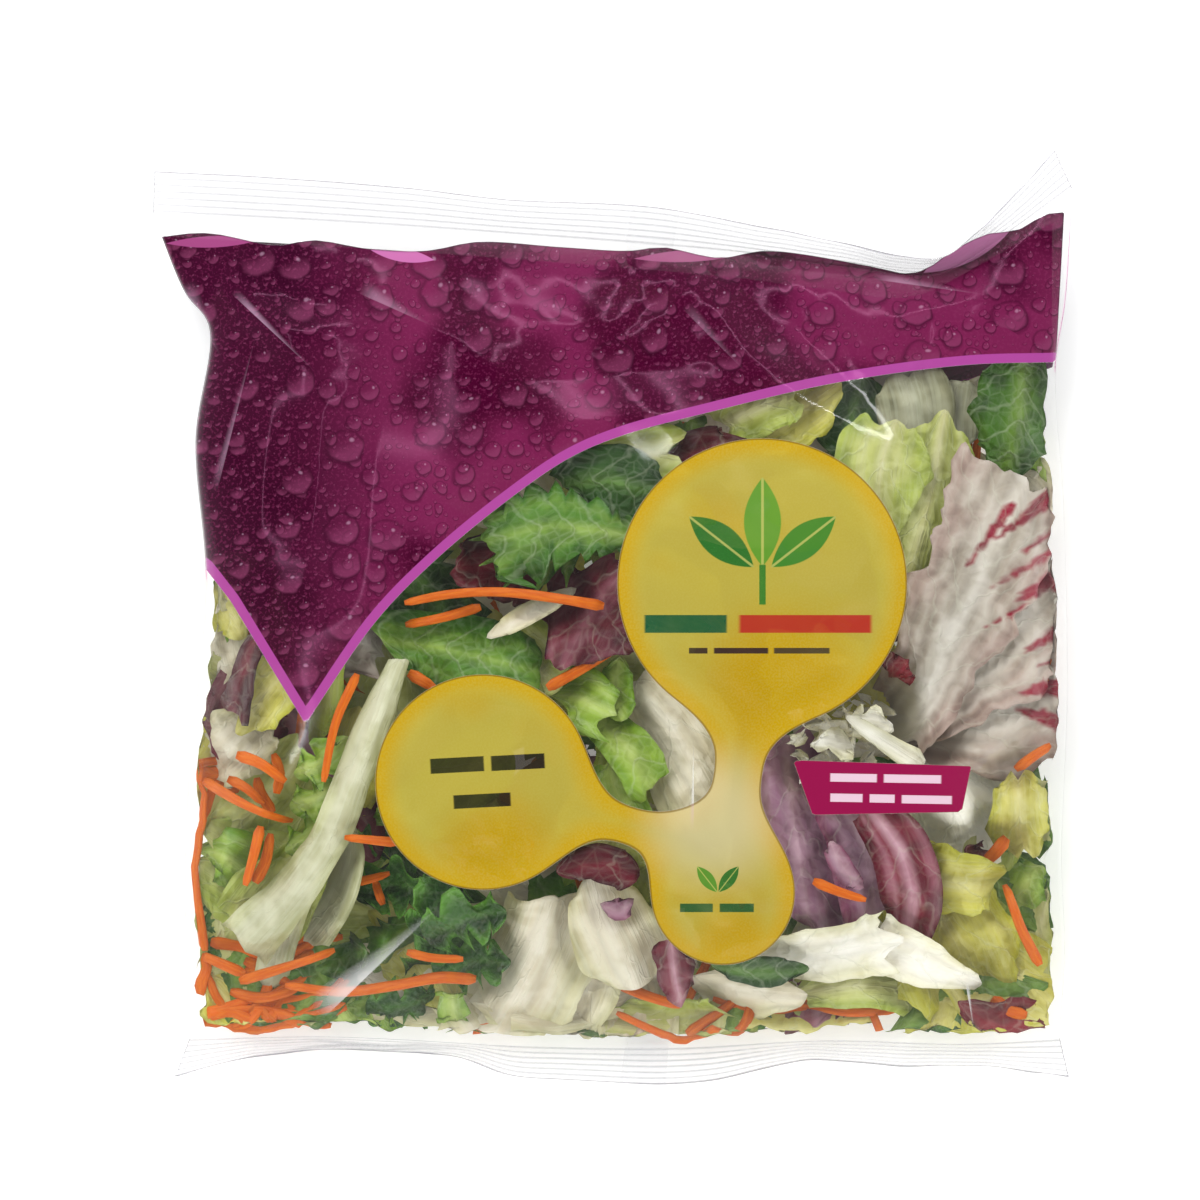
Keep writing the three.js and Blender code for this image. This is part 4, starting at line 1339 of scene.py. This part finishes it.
def fill_lower_right():
    leaf(radicchio, "crimson", [(100.1, -109.5), (108.4, -114.4), (120.5, -115)], (2.5, 8, 8), "torn", (0, 0),
         0.8, 9, 0.3, 0.3, tip=0)
    shred([(106.7, -107.8), (111.7, -110.6), (116.7, -111.7)], 5.2)
    shred([(110, -74.7), (113.9, -85.8), (120, -97.3)], 3.2)
    leaf(chicory, "bright", [(64.3, -26.8), (73.7, -32.9), (85.8, -40.6)], (1.6, 2.6, 3.4), "smooth",
         (0.1, 0.3), 0.6, tear=2)
    leaf(lettuce, "bright", [(79.2, -30.1), (71.5, -28.4), (62.6, -26.8)], (3, 6, 4), "curly", (0.1, 0.1),
         1.4, 9, 0.6, step=FINE_STEP, tear=3)
    leaf(lettuce, "bright", [(70.4, -36.2), (62.1, -34.5), (53.3, -32.3)], (3, 5, 3), "curly", (0.1, 0.2),
         1.4, 9, 0.6, step=FINE_STEP, tear=3)
    curly("bright", [(74.8, -34), (65.4, -30.6), (53.3, -30.1)], (5, 9, 8), seed=8, gap=6,
          drop=(0, 0.1))
    curly("bright", [(79.7, -36.7), (68.7, -37.3), (54.9, -40)], (5, 8, 7), seed=9, gap=6,
          drop=(0, 0.1))
    curly("bright", [(79.2, -26.8), (70.4, -24), (61.5, -23.5)], (4, 7, 5), seed=10, gap=5,
          drop=(0.2, 0.4))
    shred([(55.5, -72.5), (62.1, -75.3), (70.1, -77.8)], 3.2)
    leaf(lettuce, "bright", [(33.4, -94), (54.9, -94), (78.1, -89.1)], (3, 7.5, 10), "torn", (0.1, 0.2), 0.8,
         20, 1, tip=0, ridge_height=0.2)
    leaf(lettuce, "bright", [(71.5, -89.6), (87.4, -96.2), (102.3, -102.3)], (8, 6.5, 2.5), "torn",
         (0.3, 0.2), 0.8, 26, 0.8, 0.35, tip=0, tear=2, ridge_height=0.2)
    leaf(lettuce, "yellow", [(88.5, -99.5), (95.7, -104), (101.2, -114.4)], (1.6, 2.2, 1.8), "smooth",
         (0.2, 0.2), 0.3)
    leaf(radicchio, "mauve", [(58.8, -58.8), (62.6, -67), (70.4, -77.5)], (1.6, 3, 2), "torn", (0.1, 0.1),
         0.6, tear=2)
    leaf(radicchio, "red", [(70.4, -51.6), (79.2, -63.7), (83, -77.5), (81.4, -90.7)], (6, 8.5, 9, 6), "cut",
         (0.2, 0.4), 1.4, 20, 1)
    leaf(radicchio, "mauve", [(63.2, -49.9), (70.4, -63.7), (73.7, -84.4)], (9, 12, 10), "cut", (0.8, 0.6),
         1.2, 20, 1, 0.4)
    leaf(radicchio, "mauve", [(48.9, -31.2), (49.4, -49.9), (51.6, -66.5), (54.9, -87.1)], (14, 20, 21, 17),
         "cut", (1, 0.8), 1.2, 28, 1.4, 0.4)
    leaf(lettuce, "yellow", [(82.5, -69.8), (93, -73.1), (108.4, -74.7)], (10, 10, 7), "torn", (0.2, 0.3),
         1.6, 18, 0.8, 0.6, tip=1)
    leaf(lettuce, "yellow", [(83, -72), (93, -85.8), (102.3, -105.1)], (13, 19, 16), "torn", (0.5, 0.4), 2,
         20, 1, 0.8, tip=1)
    leaf(lettuce, "yellow", [(101.8, -91.3), (112.2, -99), (126, -111.1)], (9, 13, 8), "smooth", (0.2, 0.3),
         0.8, 26, 0.8, 0.2, ridge_height=0.12)
    leaf(lettuce, "lettuce", [(53.3, -105.6), (68.2, -102.9), (87.4, -106.2)], (5, 7, 7), "cut", (0.5, 0.5),
         1)
    shred([(28.5, -107.3), (40.6, -109.7), (54.9, -109.7)], 3.8)
    shred([(51.6, -107.8), (65.4, -110.6), (79.7, -110.6)], 3.4)
    leaf(lettuce, "yellow", [(35.6, -114.4), (54.9, -115.5), (74.2, -112.2)], (6, 10, 7), "torn", (0.8, 0.8),
         1.4, tear=4)
    leaf(lettuce, "yellow", [(90.2, -108.4), (104, -107.8), (123.3, -112.8)], (8, 10, 8), "torn", (0.6, 0.6),
         1.8)
    shred([(104.5, -68.7), (110.6, -61.5)], 4.2)
    shred([(112.8, -42.2), (117.8, -38.4), (123.3, -35.3)], 3.2)
    leaf(radicchio, "maroon", [(99, -63.7), (102.9, -67), (106.7, -65.9)], (3, 5, 3), "torn", (0.4, 0.4), 1,
         tear=0)
    leaf(lettuce, "yellow", [(113.9, -41.1), (113.4, -53.8), (116.1, -68.7)], (6, 9, 6), "torn", (0.4, 0.4),
         1.6, 20, 0.8, 0.4)
    leaf(lettuce, "lettuce", [(122.2, -44.4), (121.1, -55.4), (122.2, -63.7)], (5, 6, 5), "torn", (0.8, 0.6),
         1.6)
    leaf(green, "light", [(120.5, -68.1), (115, -79.2), (112.2, -94.6)], (6, 8, 6), "torn", (0.8, 0.8), 2.2,
         13)
    leaf(green, "green", [(102.3, -66.5), (109.5, -74.7), (120.5, -88.5)], (7, 13, 9), "torn", (1.2, 1.2),
         2.6, 13)
    leaf(lettuce, "lettuce", [(122.2, -77.5), (120.5, -88.5), (122.2, -98.4)], (5, 7, 5), "torn", (0.8, 0.8),
         1.8)
    leaf(lettuce, "white", [(73.7, -58.2), (79.2, -63.7), (83.6, -72)], (7, 9, 6), "torn", (2, 2), 1.6)


def fill_right():
    leaf(radicchio, "crimson", [(75.9, -17.4), (79.2, -13.6), (83, -10.3)], (4.5, 5.5, 3), "torn", (0, 0),
         0.8, 8, tear=4)
    leaf(radicchio, "cream", [(80.3, -32.9), (90.2, -10), (102.6, 13.4), (113.9, 38.3)], (8, 13, 17, 16),
         "torn", (0.2, 0.4), 0.8, 44, 1, 0.3, 3.4, 0.8, streaks=1, tip=-3, step=FINE_STEP, tear=2)
    leaf(radicchio, "cream", [(80.8, -29.5), (95.7, -16.9), (110, -3.1), (124.9, 16.2)], (8, 14, 22, 24),
         "torn", (0.9, 0.4), 0.8, 44, 0.8, 0.3, 3, 0.8, streaks=1, tip=-4, step=FINE_STEP)
    leaf(radicchio, "cream", [(80.8, -26.8), (95.2, -28.4), (109.5, -25.1), (124.9, -15.8)], (8, 14, 21, 22),
         "torn", (1.2, 0.4), 0.8, 44, 0.8, 0.3, 3, 0.8, streaks=1, tip=-4, step=FINE_STEP)
    leaf(lettuce, "bright", [(86.1, -30.6), (95.2, -44.4), (104, -58.2), (107.3, -69.8)], (10, 18, 16, 9),
         "smooth", (1, 0.6), 1, 34, 1.2, 0.25, 2.4, ridge_height=0.25)
    leaf(radicchio, "maroon", [(86.9, -34.5), (90.2, -36.7), (94.1, -38.9)], (3, 5.5, 4), "torn", ruffle=0.8,
         tear=2)
    leaf(lettuce, "bright", [(71.5, -19.1), (74.8, -22.9), (78.6, -28.4)], (5, 7, 5), "torn", (0.2, 0.4), 1.6,
         9, 1)
    leaf(lettuce, "white", [(80.8, -26.8), (68.2, -30.6), (53.3, -34)], (7, 9, 7), "torn", (1.4, 1.4), 1.6,
         12)
    leaf(radicchio, "mauve", [(79.2, -24.6), (82.5, -30.1), (87.4, -35.6)], (4, 6, 4), "torn", (1, 1), 1)
    leaf(lettuce, "lettuce", [(79.7, 57), (75, 43.8), (73.1, 27.2), (72.6, 16.2)], (8, 15, 10, 4), "smooth",
         (0.4, 0.5), 1.2, 30, 1, 0.35, 1.4, tear=3)
    leaf(lettuce, "lettuce", [(92.4, 54.8), (89.6, 38.3), (84.1, 19), (78.1, -2.5)], (8, 15, 13, 6), "smooth",
         (0.7, 0.6), 1.4, 34, 1.2, 0.35, 1.4, tear=3)
    leaf(green, "deep", [(116.7, 73.5), (114.5, 60.3), (109.5, 39.4)], (10, 13, 6), "torn", (0.1, 0.4), 1.4,
         18, 0.8, 0.4, 2.6, tear=2)
    leaf(lettuce, "light", [(120, 52), (122.2, 44.9), (122.7, 38.3)], (4, 6, 4), "smooth", (0.6, 0.6), 1)
    leaf(chicory, "shaded", [(82.5, 69.1), (84.7, 60.3), (85.8, 47.6)], (10, 11, 9), "smooth", (1.2, 1.6),
         0.5, 30, 1.4, 0.3, 3, 1, tear=2)
    leaf(chicory, "shaded", [(98.5, 68), (96.8, 57.5), (96.3, 46.5)], (6, 7, 6), "smooth", (0.8, 1), 0.5, 30,
         1.4, 0.3, 2, 1, tear=2)
    leaf(lettuce, "white", [(106.7, 68), (103.4, 60.3), (100.7, 50.4)], (6, 8, 5), "smooth", (0.6, 0.8), 0.8,
         30, 1.2, 0.3)
    leaf(lettuce, "white", [(115, 42.1), (120, 35.5), (123.8, 27.2)], (8, 9, 8), "cut", (1, 1), 1.2)


# Narrow lobes of the toothed green leaf above the middle
FINGER_ROOT = (-11.8, 23.9)
FINGER_TIPS = [(-38.2, 29.4), (-39.9, 21.7), (-37.1, 14.6), (-31.1, 7.9), (-22.2, 5.7), (-12.9, 8.5)]


def fill_middle():
    shred([(-57.5, 4.4), (-44.8, 6.8), (-31.1, 7.4), (-15.6, 5.7), (-2.4, 3.5)], 2.9)
    leaf(green, "green", [(7.5, 21.7), (-6.3, 24.5), (-20, 25), (-32.7, 21.7)], (5, 9, 14, 16), "toothed",
         (0.6, 0.3), 2.4, 13, 0.8, 0.6, 1.8, tear=5)
    root_x, root_y = FINGER_ROOT
    for x, y in FINGER_TIPS:
        midrib = [FINGER_ROOT, ((root_x + x) / 2, (root_y + y) / 2 + 1.1), (x, y)]
        leaf(green, "green", midrib, (4.6, 2.6, 0.7), "smooth", (0.3, 0.2), 0.6, 12, 0.8, 0.3, 1.2)
    leaf(radicchio, "white", [(-34.9, -5.3), (-25.5, 0.2), (-10.1, 8.5)], (1.8, 3.2, 2), "smooth", (0.4, 0.4),
         0.4)
    leaf(radicchio, "wine", [(2, 12.1), (-5.7, 2.4), (-12.9, -11.4)], (14, 15, 8), "torn", (0.6, 0.5), 2,
         tear=4)
    leaf(radicchio, "maroon", [(-44.3, 14.6), (-33.8, 15.1), (-20, 10.7)], (6, 8, 9), "torn", (0.8, 0.8), 1.8,
         14)
    shred([(-18.1, -19.1), (-6.3, -12.5), (4.2, -6.1)], 3.3)
    shred([(-57.5, -1.7), (-47.6, 0.2), (-36.6, 3.3)], 3, 0.5)
    shred([(-56.4, -14.9), (-49.2, -19.1)], 4, 0.3)
    leaf(green, "green", [(-64.1, -5.8), (-47.6, -8), (-20, -14.7)], (8, 12, 9), "cut", (0.6, 0.8), 1.4, 20,
         1.2)
    leaf(lettuce, "lettuce", [(-31.1, -3.1), (-22.8, -11.4), (-14.5, -19.6)], (7, 11, 8), drop=(1, 0.8),
         wave=18)
    leaf(lettuce, "light", [(-15.6, -21.3), (-9, -21.8), (-0.7, -25.7)], (7, 9, 7), "cut", (0.3, 0.3), 1.4)
    leaf(green, "light", [(2, -10.3), (0.9, -19.6), (2.6, -28.4)], (4, 4.5, 4.5), "smooth", (0.6, 0.6), 0.5,
         20, 2.6)
    leaf(green, "light", [(-6.3, -25.7), (2, -33.4), (10.8, -46.6)], (5, 7, 7), "cut", (0.4, 0.4), 1.2, 14,
         1.2)
    leaf(lettuce, "light", [(-0.7, -36.7), (0.9, -47.2), (5.9, -57.1)], (7, 9, 7), "cut", (0.8, 0.5), 1.4)
    leaf(lettuce, "white", [(6.4, -16.9), (17.4, -30.6), (28.5, -49.9)], (12, 16, 14), "cut", (1, 0.8), 1.6,
         24, 1, tear=2)
    leaf(radicchio, "red", [(13, -49.9), (18.5, -51.6), (25.7, -47.2)], (5, 8, 7), "torn", (0.8, 0.5), 1.8,
         10)
    leaf(green, "dark", [(-14.5, 36.6), (-3.5, 38.3), (11.9, 34.9)], (10, 11, 10), "cut", (1, 1), 1.8, 18)
    leaf(lettuce, "lettuce", [(-12.9, 41), (2, 43.8), (18.5, 46.5)], (6, 8, 8), "cut", (0.6, 0.6), 1.4)
    leaf(radicchio, "maroon", [(15.2, 43.2), (24.1, 46.5), (35.1, 48.2)], (4, 6, 5), "torn", (0.8, 0.8), 1.6,
         10)
    leaf(lettuce, "lettuce", [(28.5, 53.1), (40.6, 59.2), (53.3, 63.6)], (6, 9, 7), "torn", (0.6, 0.6), 1.6,
         tear=4)
    leaf(lettuce, "yellow", [(40.6, 49.3), (51.6, 57.5), (61.5, 64.7)], (7, 9, 6), "torn", (0.8, 0.8), 1.6,
         tear=4)
    leaf(green, "dark", [(70.9, 68), (67.6, 57.5), (65.4, 43.8)], (9, 12, 10), "torn", (1.2, 1.2), 2, 14,
         tear=0)
    leaf(green, "dark", [(7.5, 98.3), (6.4, 102.7), (5.3, 106)], (3, 3, 1.5), "toothed", (0.2, 0.2), 0.6,
         top_margin=-2.5)
    leaf(green, "green", [(28.5, 96.7), (29, 101.6), (29.6, 105.5)], (3, 3, 1.5), "toothed", (0.2, 0.2), 0.6,
         top_margin=-2.5)


# Left of and below this place only green leaves lie deep in the bag
GREEN_CORNER = (-64, -76)
FILLER_WIDTH = 216
FILLER_LENGTH = 196
SHRED_EVERY = 3


def filler(seed, count, side, drops, step):
    """Pieces of leaf and shreds for what lies deeper and behind, spread evenly over the bag."""
    draw = random.Random(seed)
    # kind, look, outline, half width, how often
    choices = [
        (lettuce, "lettuce", "cut", 14, 5), (lettuce, "white", "cut", 12, 4),
        (lettuce, "yellow", "torn", 13, 3), (lettuce, "light", "cut", 12, 3),
        (green, "green", "toothed", 12, 2), (green, "dark", "toothed", 12, 1),
        (radicchio, "red", "cut", 12, 2), (radicchio, "cream", "torn", 13, 2),
        (chicory, "white", "cut", 7, 2),
    ]
    weights = [choice[4] for choice in choices]
    for i in range(count):
        kind, look, edge, wide, _ = draw.choices(choices, weights)[0]
        x = (fraction(0.5 + i * BUMP_STEP_X) - 0.5) * FILLER_WIDTH + draw.uniform(-8, 8)
        y = (fraction(0.5 + i * BUMP_STEP_Y) - 0.5) * FILLER_LENGTH + BUMP_CENTRE_Y + draw.uniform(-8, 8)
        if kind is radicchio and x < GREEN_CORNER[0] and y < GREEN_CORNER[1]:
            kind, look = green, "green"
        angle = draw.uniform(0, math.tau)
        length = draw.uniform(34, 62)
        bend = draw.uniform(-0.6, 0.6)
        ends = []
        for share in (-0.5, 0, 0.5):
            turned = angle + bend * share
            ends.append((x + length * share * math.cos(turned), y + length * share * math.sin(turned)))
        wide = wide * draw.uniform(0.75, 1.25)
        fall = draw.uniform(*drops)
        narrow = 0.85 if edge == "cut" else 0.5
        leaf(kind, look, ends, (wide * narrow, wide, wide, wide * narrow), edge, (fall, draw.uniform(*drops)),
             draw.uniform(1.5, 3.5), draw.uniform(12, 22), draw.uniform(0, 2), 0.8, 2.0,
             0.5 if kind is not chicory else 1.4, tip=PLAIN_END_BULGE, side=side, step=step, tear=4)
        if i % SHRED_EVERY == 0:
            angle = draw.uniform(0, math.tau)
            reach = draw.uniform(14, 30)
            ends = [(x - reach * math.cos(angle), y - reach * math.sin(angle)), (x + 3, y - 2),
                    (x + reach * math.cos(angle + 0.3), y + reach * math.sin(angle + 0.3))]
            shred(ends, draw.uniform(2.6, 3.4), fall * 0.5, side)


def fraction(value):
    return value - math.floor(value)


# The film

SEAL_RIM = 2.4


def as_seen(points):
    """Where points on the film appear in the plan when seen from the camera, on the plane at whose scale
    the print is laid out."""
    grown = (CAMERA_HEIGHT - FRAME_PLANE) / (CAMERA_HEIGHT - points[..., 2])
    return CAMERA_X + (points[..., 0] - CAMERA_X) * grown, CAMERA_Y + (points[..., 1] - CAMERA_Y) * grown


def make_film():
    front, back = film_points()
    rows, columns = front.shape[:2]
    fold = (front[:, [0, -1]] + back[:, [0, -1]]) / 2
    front[:, 0], front[:, -1] = fold[:, 0], fold[:, 1]
    ring = np.concatenate([front, back[:, -2:0:-1]], axis=1)
    size = ring.shape[1]
    faces = grid_quads(rows, size, closed=True)
    ends = []
    for start, flipped in ((0, False), ((rows - 1) * size, True)):
        for i in range(columns - 1):
            corners = [start + i, start + i + 1, start + (size - i - 1) % size, start + (size - i) % size]
            corners = list(dict.fromkeys(corners))
            ends.append(corners if flipped else corners[::-1])
    front_fields = print_fields(*as_seen(front))
    rear_fields = back_fields(back[:, -2:0:-1, 0], back[:, -2:0:-1, 1])
    values = {key: np.concatenate([front_fields[key], rear_fields[key]], axis=1) for key in front_fields}
    ribs = 0.2 + 0.9 * (np.arange(FILM_SPANS_IN_SEAL) % 4 == 1)
    ribs[-1] = SEAL_RIM
    in_seal = np.concatenate([ribs[::-1], np.zeros(rows - 2 * FILM_SPANS_IN_SEAL), ribs])
    values["seal"] = np.broadcast_to(in_seal[:, None], (rows, size))
    faces = faces.tolist() + ends
    plan = np.stack(as_seen(ring), -1)
    film = new_object("bag_film", ring.reshape(-1, 3), faces, film_looks["clear"],
                      plan.reshape(-1, 2), values=values)
    choose_film_looks(film, faces, values)
    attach(film, "root")
    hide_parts("bag")
    return front, back


def choose_film_looks(film, faces, values):
    """Gives the faces that a printed field reaches its material, and leaves the others clear."""
    purple = values["purple"].ravel() < 1.5
    yellow = (np.minimum(values["yellow"], values["tag"]).ravel() < 1.5) & ~purple
    for look in ("purple", "yellow"):
        film.data.materials.append(film_looks[look])
    slots = [1 if purple[face].any() else 2 if yellow[face].any() else 0 for face in faces]
    film.data.polygons.foreach_set("material_index", slots)


SEAM_FROM, SEAM_TO = 0.0, 0.11
SEAM_GREYNESS = 0.1
SEAM_DROP = 0.18
SEAM_LOWEST = 0.12
SEAM_THICKNESS = 0.1


def make_back_seam(back):
    """The fin seam down the back: a narrow flap of doubled film, folded flat."""
    columns = FILM_SPANS_ACROSS + 1
    across = crowd(np.linspace(-1, 1, columns), CROWD_ACROSS)
    picked = np.flatnonzero((across >= SEAM_FROM) & (across <= SEAM_TO))
    strip = back[:, picked].copy()
    strip[..., 2] = np.maximum(strip[..., 2] - SEAM_DROP, SEAM_LOWEST)
    under = strip.copy()
    under[..., 2] -= SEAM_THICKNESS
    rows, count = strip.shape[:2]
    uv = strip[..., :2]
    tint = np.ones((rows, count, 3))
    under, strip = under.reshape(-1, 3), strip.reshape(-1, 3)
    verts, faces, uv, _ = solid_sheet(under, strip, rows, count, uv, tint, -1)
    values = back_fields(verts[:, 0], verts[:, 1])
    values["seal"] = np.full(len(verts), SEAM_GREYNESS)
    faces = faces.tolist()
    seam = new_object("back_seam", verts, faces, film_looks["clear"], uv, values=values)
    choose_film_looks(seam, faces, values)
    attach(seam, "root")
    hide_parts("bag")


# The stage

CAMERA_X, CAMERA_Y = -3.5, 5.2
CAMERA_HEIGHT = 1500
FRAME_WIDTH = 336
FRAME_PLANE = 22
SENSOR = 36


def make_camera():
    data = bpy.data.cameras.new("camera")
    data.sensor_width = SENSOR
    data.lens = SENSOR * (CAMERA_HEIGHT - FRAME_PLANE) / FRAME_WIDTH
    camera = bpy.data.objects.new("camera", data)
    camera.location = (CAMERA_X * MM, CAMERA_Y * MM, CAMERA_HEIGHT * MM)
    bpy.context.scene.collection.objects.link(camera)
    bpy.context.scene.camera = camera


# name, degrees from straight up, direction, width and height in metres, radiance
LIGHTS = [
    ("left_panel", 43, 135, (1.1, 1.1), 2.6),
    ("right_panel", 50, 12, (1.3, 0.4), 3.95),
    ("low_panel", 55, -100, (1.2, 0.4), 4.4),
    ("left_strip", 27, 150, (1.2, 0.05), 13.0),
    ("top_strip", 58, 80, (1.2, 0.06), 15.0),
]
LIGHT_DISTANCE = 1.5


def soft_light(name, polar, azimuth, size, radiance):
    """A rectangular light that faces the bag. Its width lies along the horizon. Panels light the
    bag without a glare of their own."""
    data = bpy.data.lights.new(name, "AREA")
    data.shape = "RECTANGLE"
    data.size, data.size_y = size
    data.energy = radiance * math.pi * size[0] * size[1]
    light = bpy.data.objects.new(name, data)
    light.visible_glossy = "panel" not in name
    polar, azimuth = math.radians(polar), math.radians(azimuth)
    direction = (math.sin(polar) * math.cos(azimuth), math.sin(polar) * math.sin(azimuth), math.cos(polar))
    light.location = [LIGHT_DISTANCE * part for part in direction]
    light.rotation_euler = (polar, 0, azimuth + math.pi / 2)
    bpy.context.scene.collection.objects.link(light)


def make_stage():
    material, tree, surface = new_material("pale_table")
    place = node(tree, "ShaderNodeTexCoord").outputs["Object"]
    grain = texture_noise(tree, place, 40, 0)
    colour = blend(tree, grain, (0.945, 0.945, 0.945), (0.96, 0.96, 0.96))
    glow = {"Emission_Color": (1, 1, 1, 1), "Emission_Strength": 0.24}
    feed(tree, surface, Base_Color=colour, Roughness=0.7, **glow)
    bpy.ops.mesh.primitive_plane_add(size=6, location=(0, 0, 0))
    floor = bpy.context.object
    floor.name = "floor"
    floor.data.materials.append(material)
    world = bpy.data.worlds.new("studio")
    world.use_nodes = True
    bpy.context.scene.world = world
    sky = world.node_tree
    direction = node(sky, "ShaderNodeTexCoord").outputs["Generated"]
    height = node(sky, "ShaderNodeSeparateXYZ", {0: direction}).outputs[2]
    shade = blend(sky, fade(sky, height, 0.15, 0.95), (1.0, 1.0, 1.01), (0.34, 0.34, 0.35))
    sky.links.new(shade, sky.nodes["Background"].inputs["Color"])
    for name, polar, azimuth, size, radiance in LIGHTS:
        soft_light(name, polar, azimuth, size, radiance)
    bpy.context.scene.view_settings.view_transform = "Standard"


# Build

make_camera()
film_looks = {
    "clear": film_material("clear_film", None),
    "purple": film_material("purple_print", "purple"),
    "yellow": film_material("yellow_print", "yellow"),
}
# piece, material, vein gap, vein share, wax, cell, slant, pucker, fibres, slot
LEAF_KINDS = [
    ("lettuce_leaves", "lettuce_leaf", 13, 0.24, 0.42, 5, 1.5, 0.9, 0.14, "pale_leaf"),
    ("green_leaves", "green_leaf", 9, 0.24, 0.4, 3.2, 0.85, 0.8, 0.04, "green_leaf"),
    ("curly_leaves", "curly_leaf", 6, 0.08, 0.38, 2.2, 0.85, 0.9, 0.03, "green_leaf"),
    ("red_leaves", "red_leaf", 13, 0.2, 0.36, 4, 1.3, 0.6, 0.05, "red_leaf"),
    ("white_ribs", "white_rib", 24, 0.1, 0.35, 7, 2.4, 0.4, 0.28, "pale_leaf"),
]
lettuce, green, frisee, radicchio, chicory = (
    Kind(name, leaf_material(material, *looks), slot) for name, material, *looks, slot in LEAF_KINDS)
carrot = Kind("carrot_shreds", carrot_material(), "carrot")

front_film, back_film = make_film()
make_back_seam(back_film)
body = slice(FILM_SPANS_IN_SEAL, -FILM_SPANS_IN_SEAL)
near = {
    1: lowest_around(spread_to_cells(front_film[body], np.minimum), 1) - FILM_CLEARANCE,
    -1: lowest_around(-spread_to_cells(back_film[body], np.maximum), 1) - FILM_CLEARANCE,
}
room = {side: cells.copy() for side, cells in near.items()}
fill_left()
fill_bottom()
fill_lower_right()
fill_right()
fill_middle()
filler(21, 60, 1, (0.5, 7), 2.2)
filler(22, 70, -1, (0.2, 4), 2.2)
filler(23, 30, 1, (2, 9), 2.6)
for kind in (lettuce, green, frisee, radicchio, chicory, carrot):
    kind.finish()
make_stage()
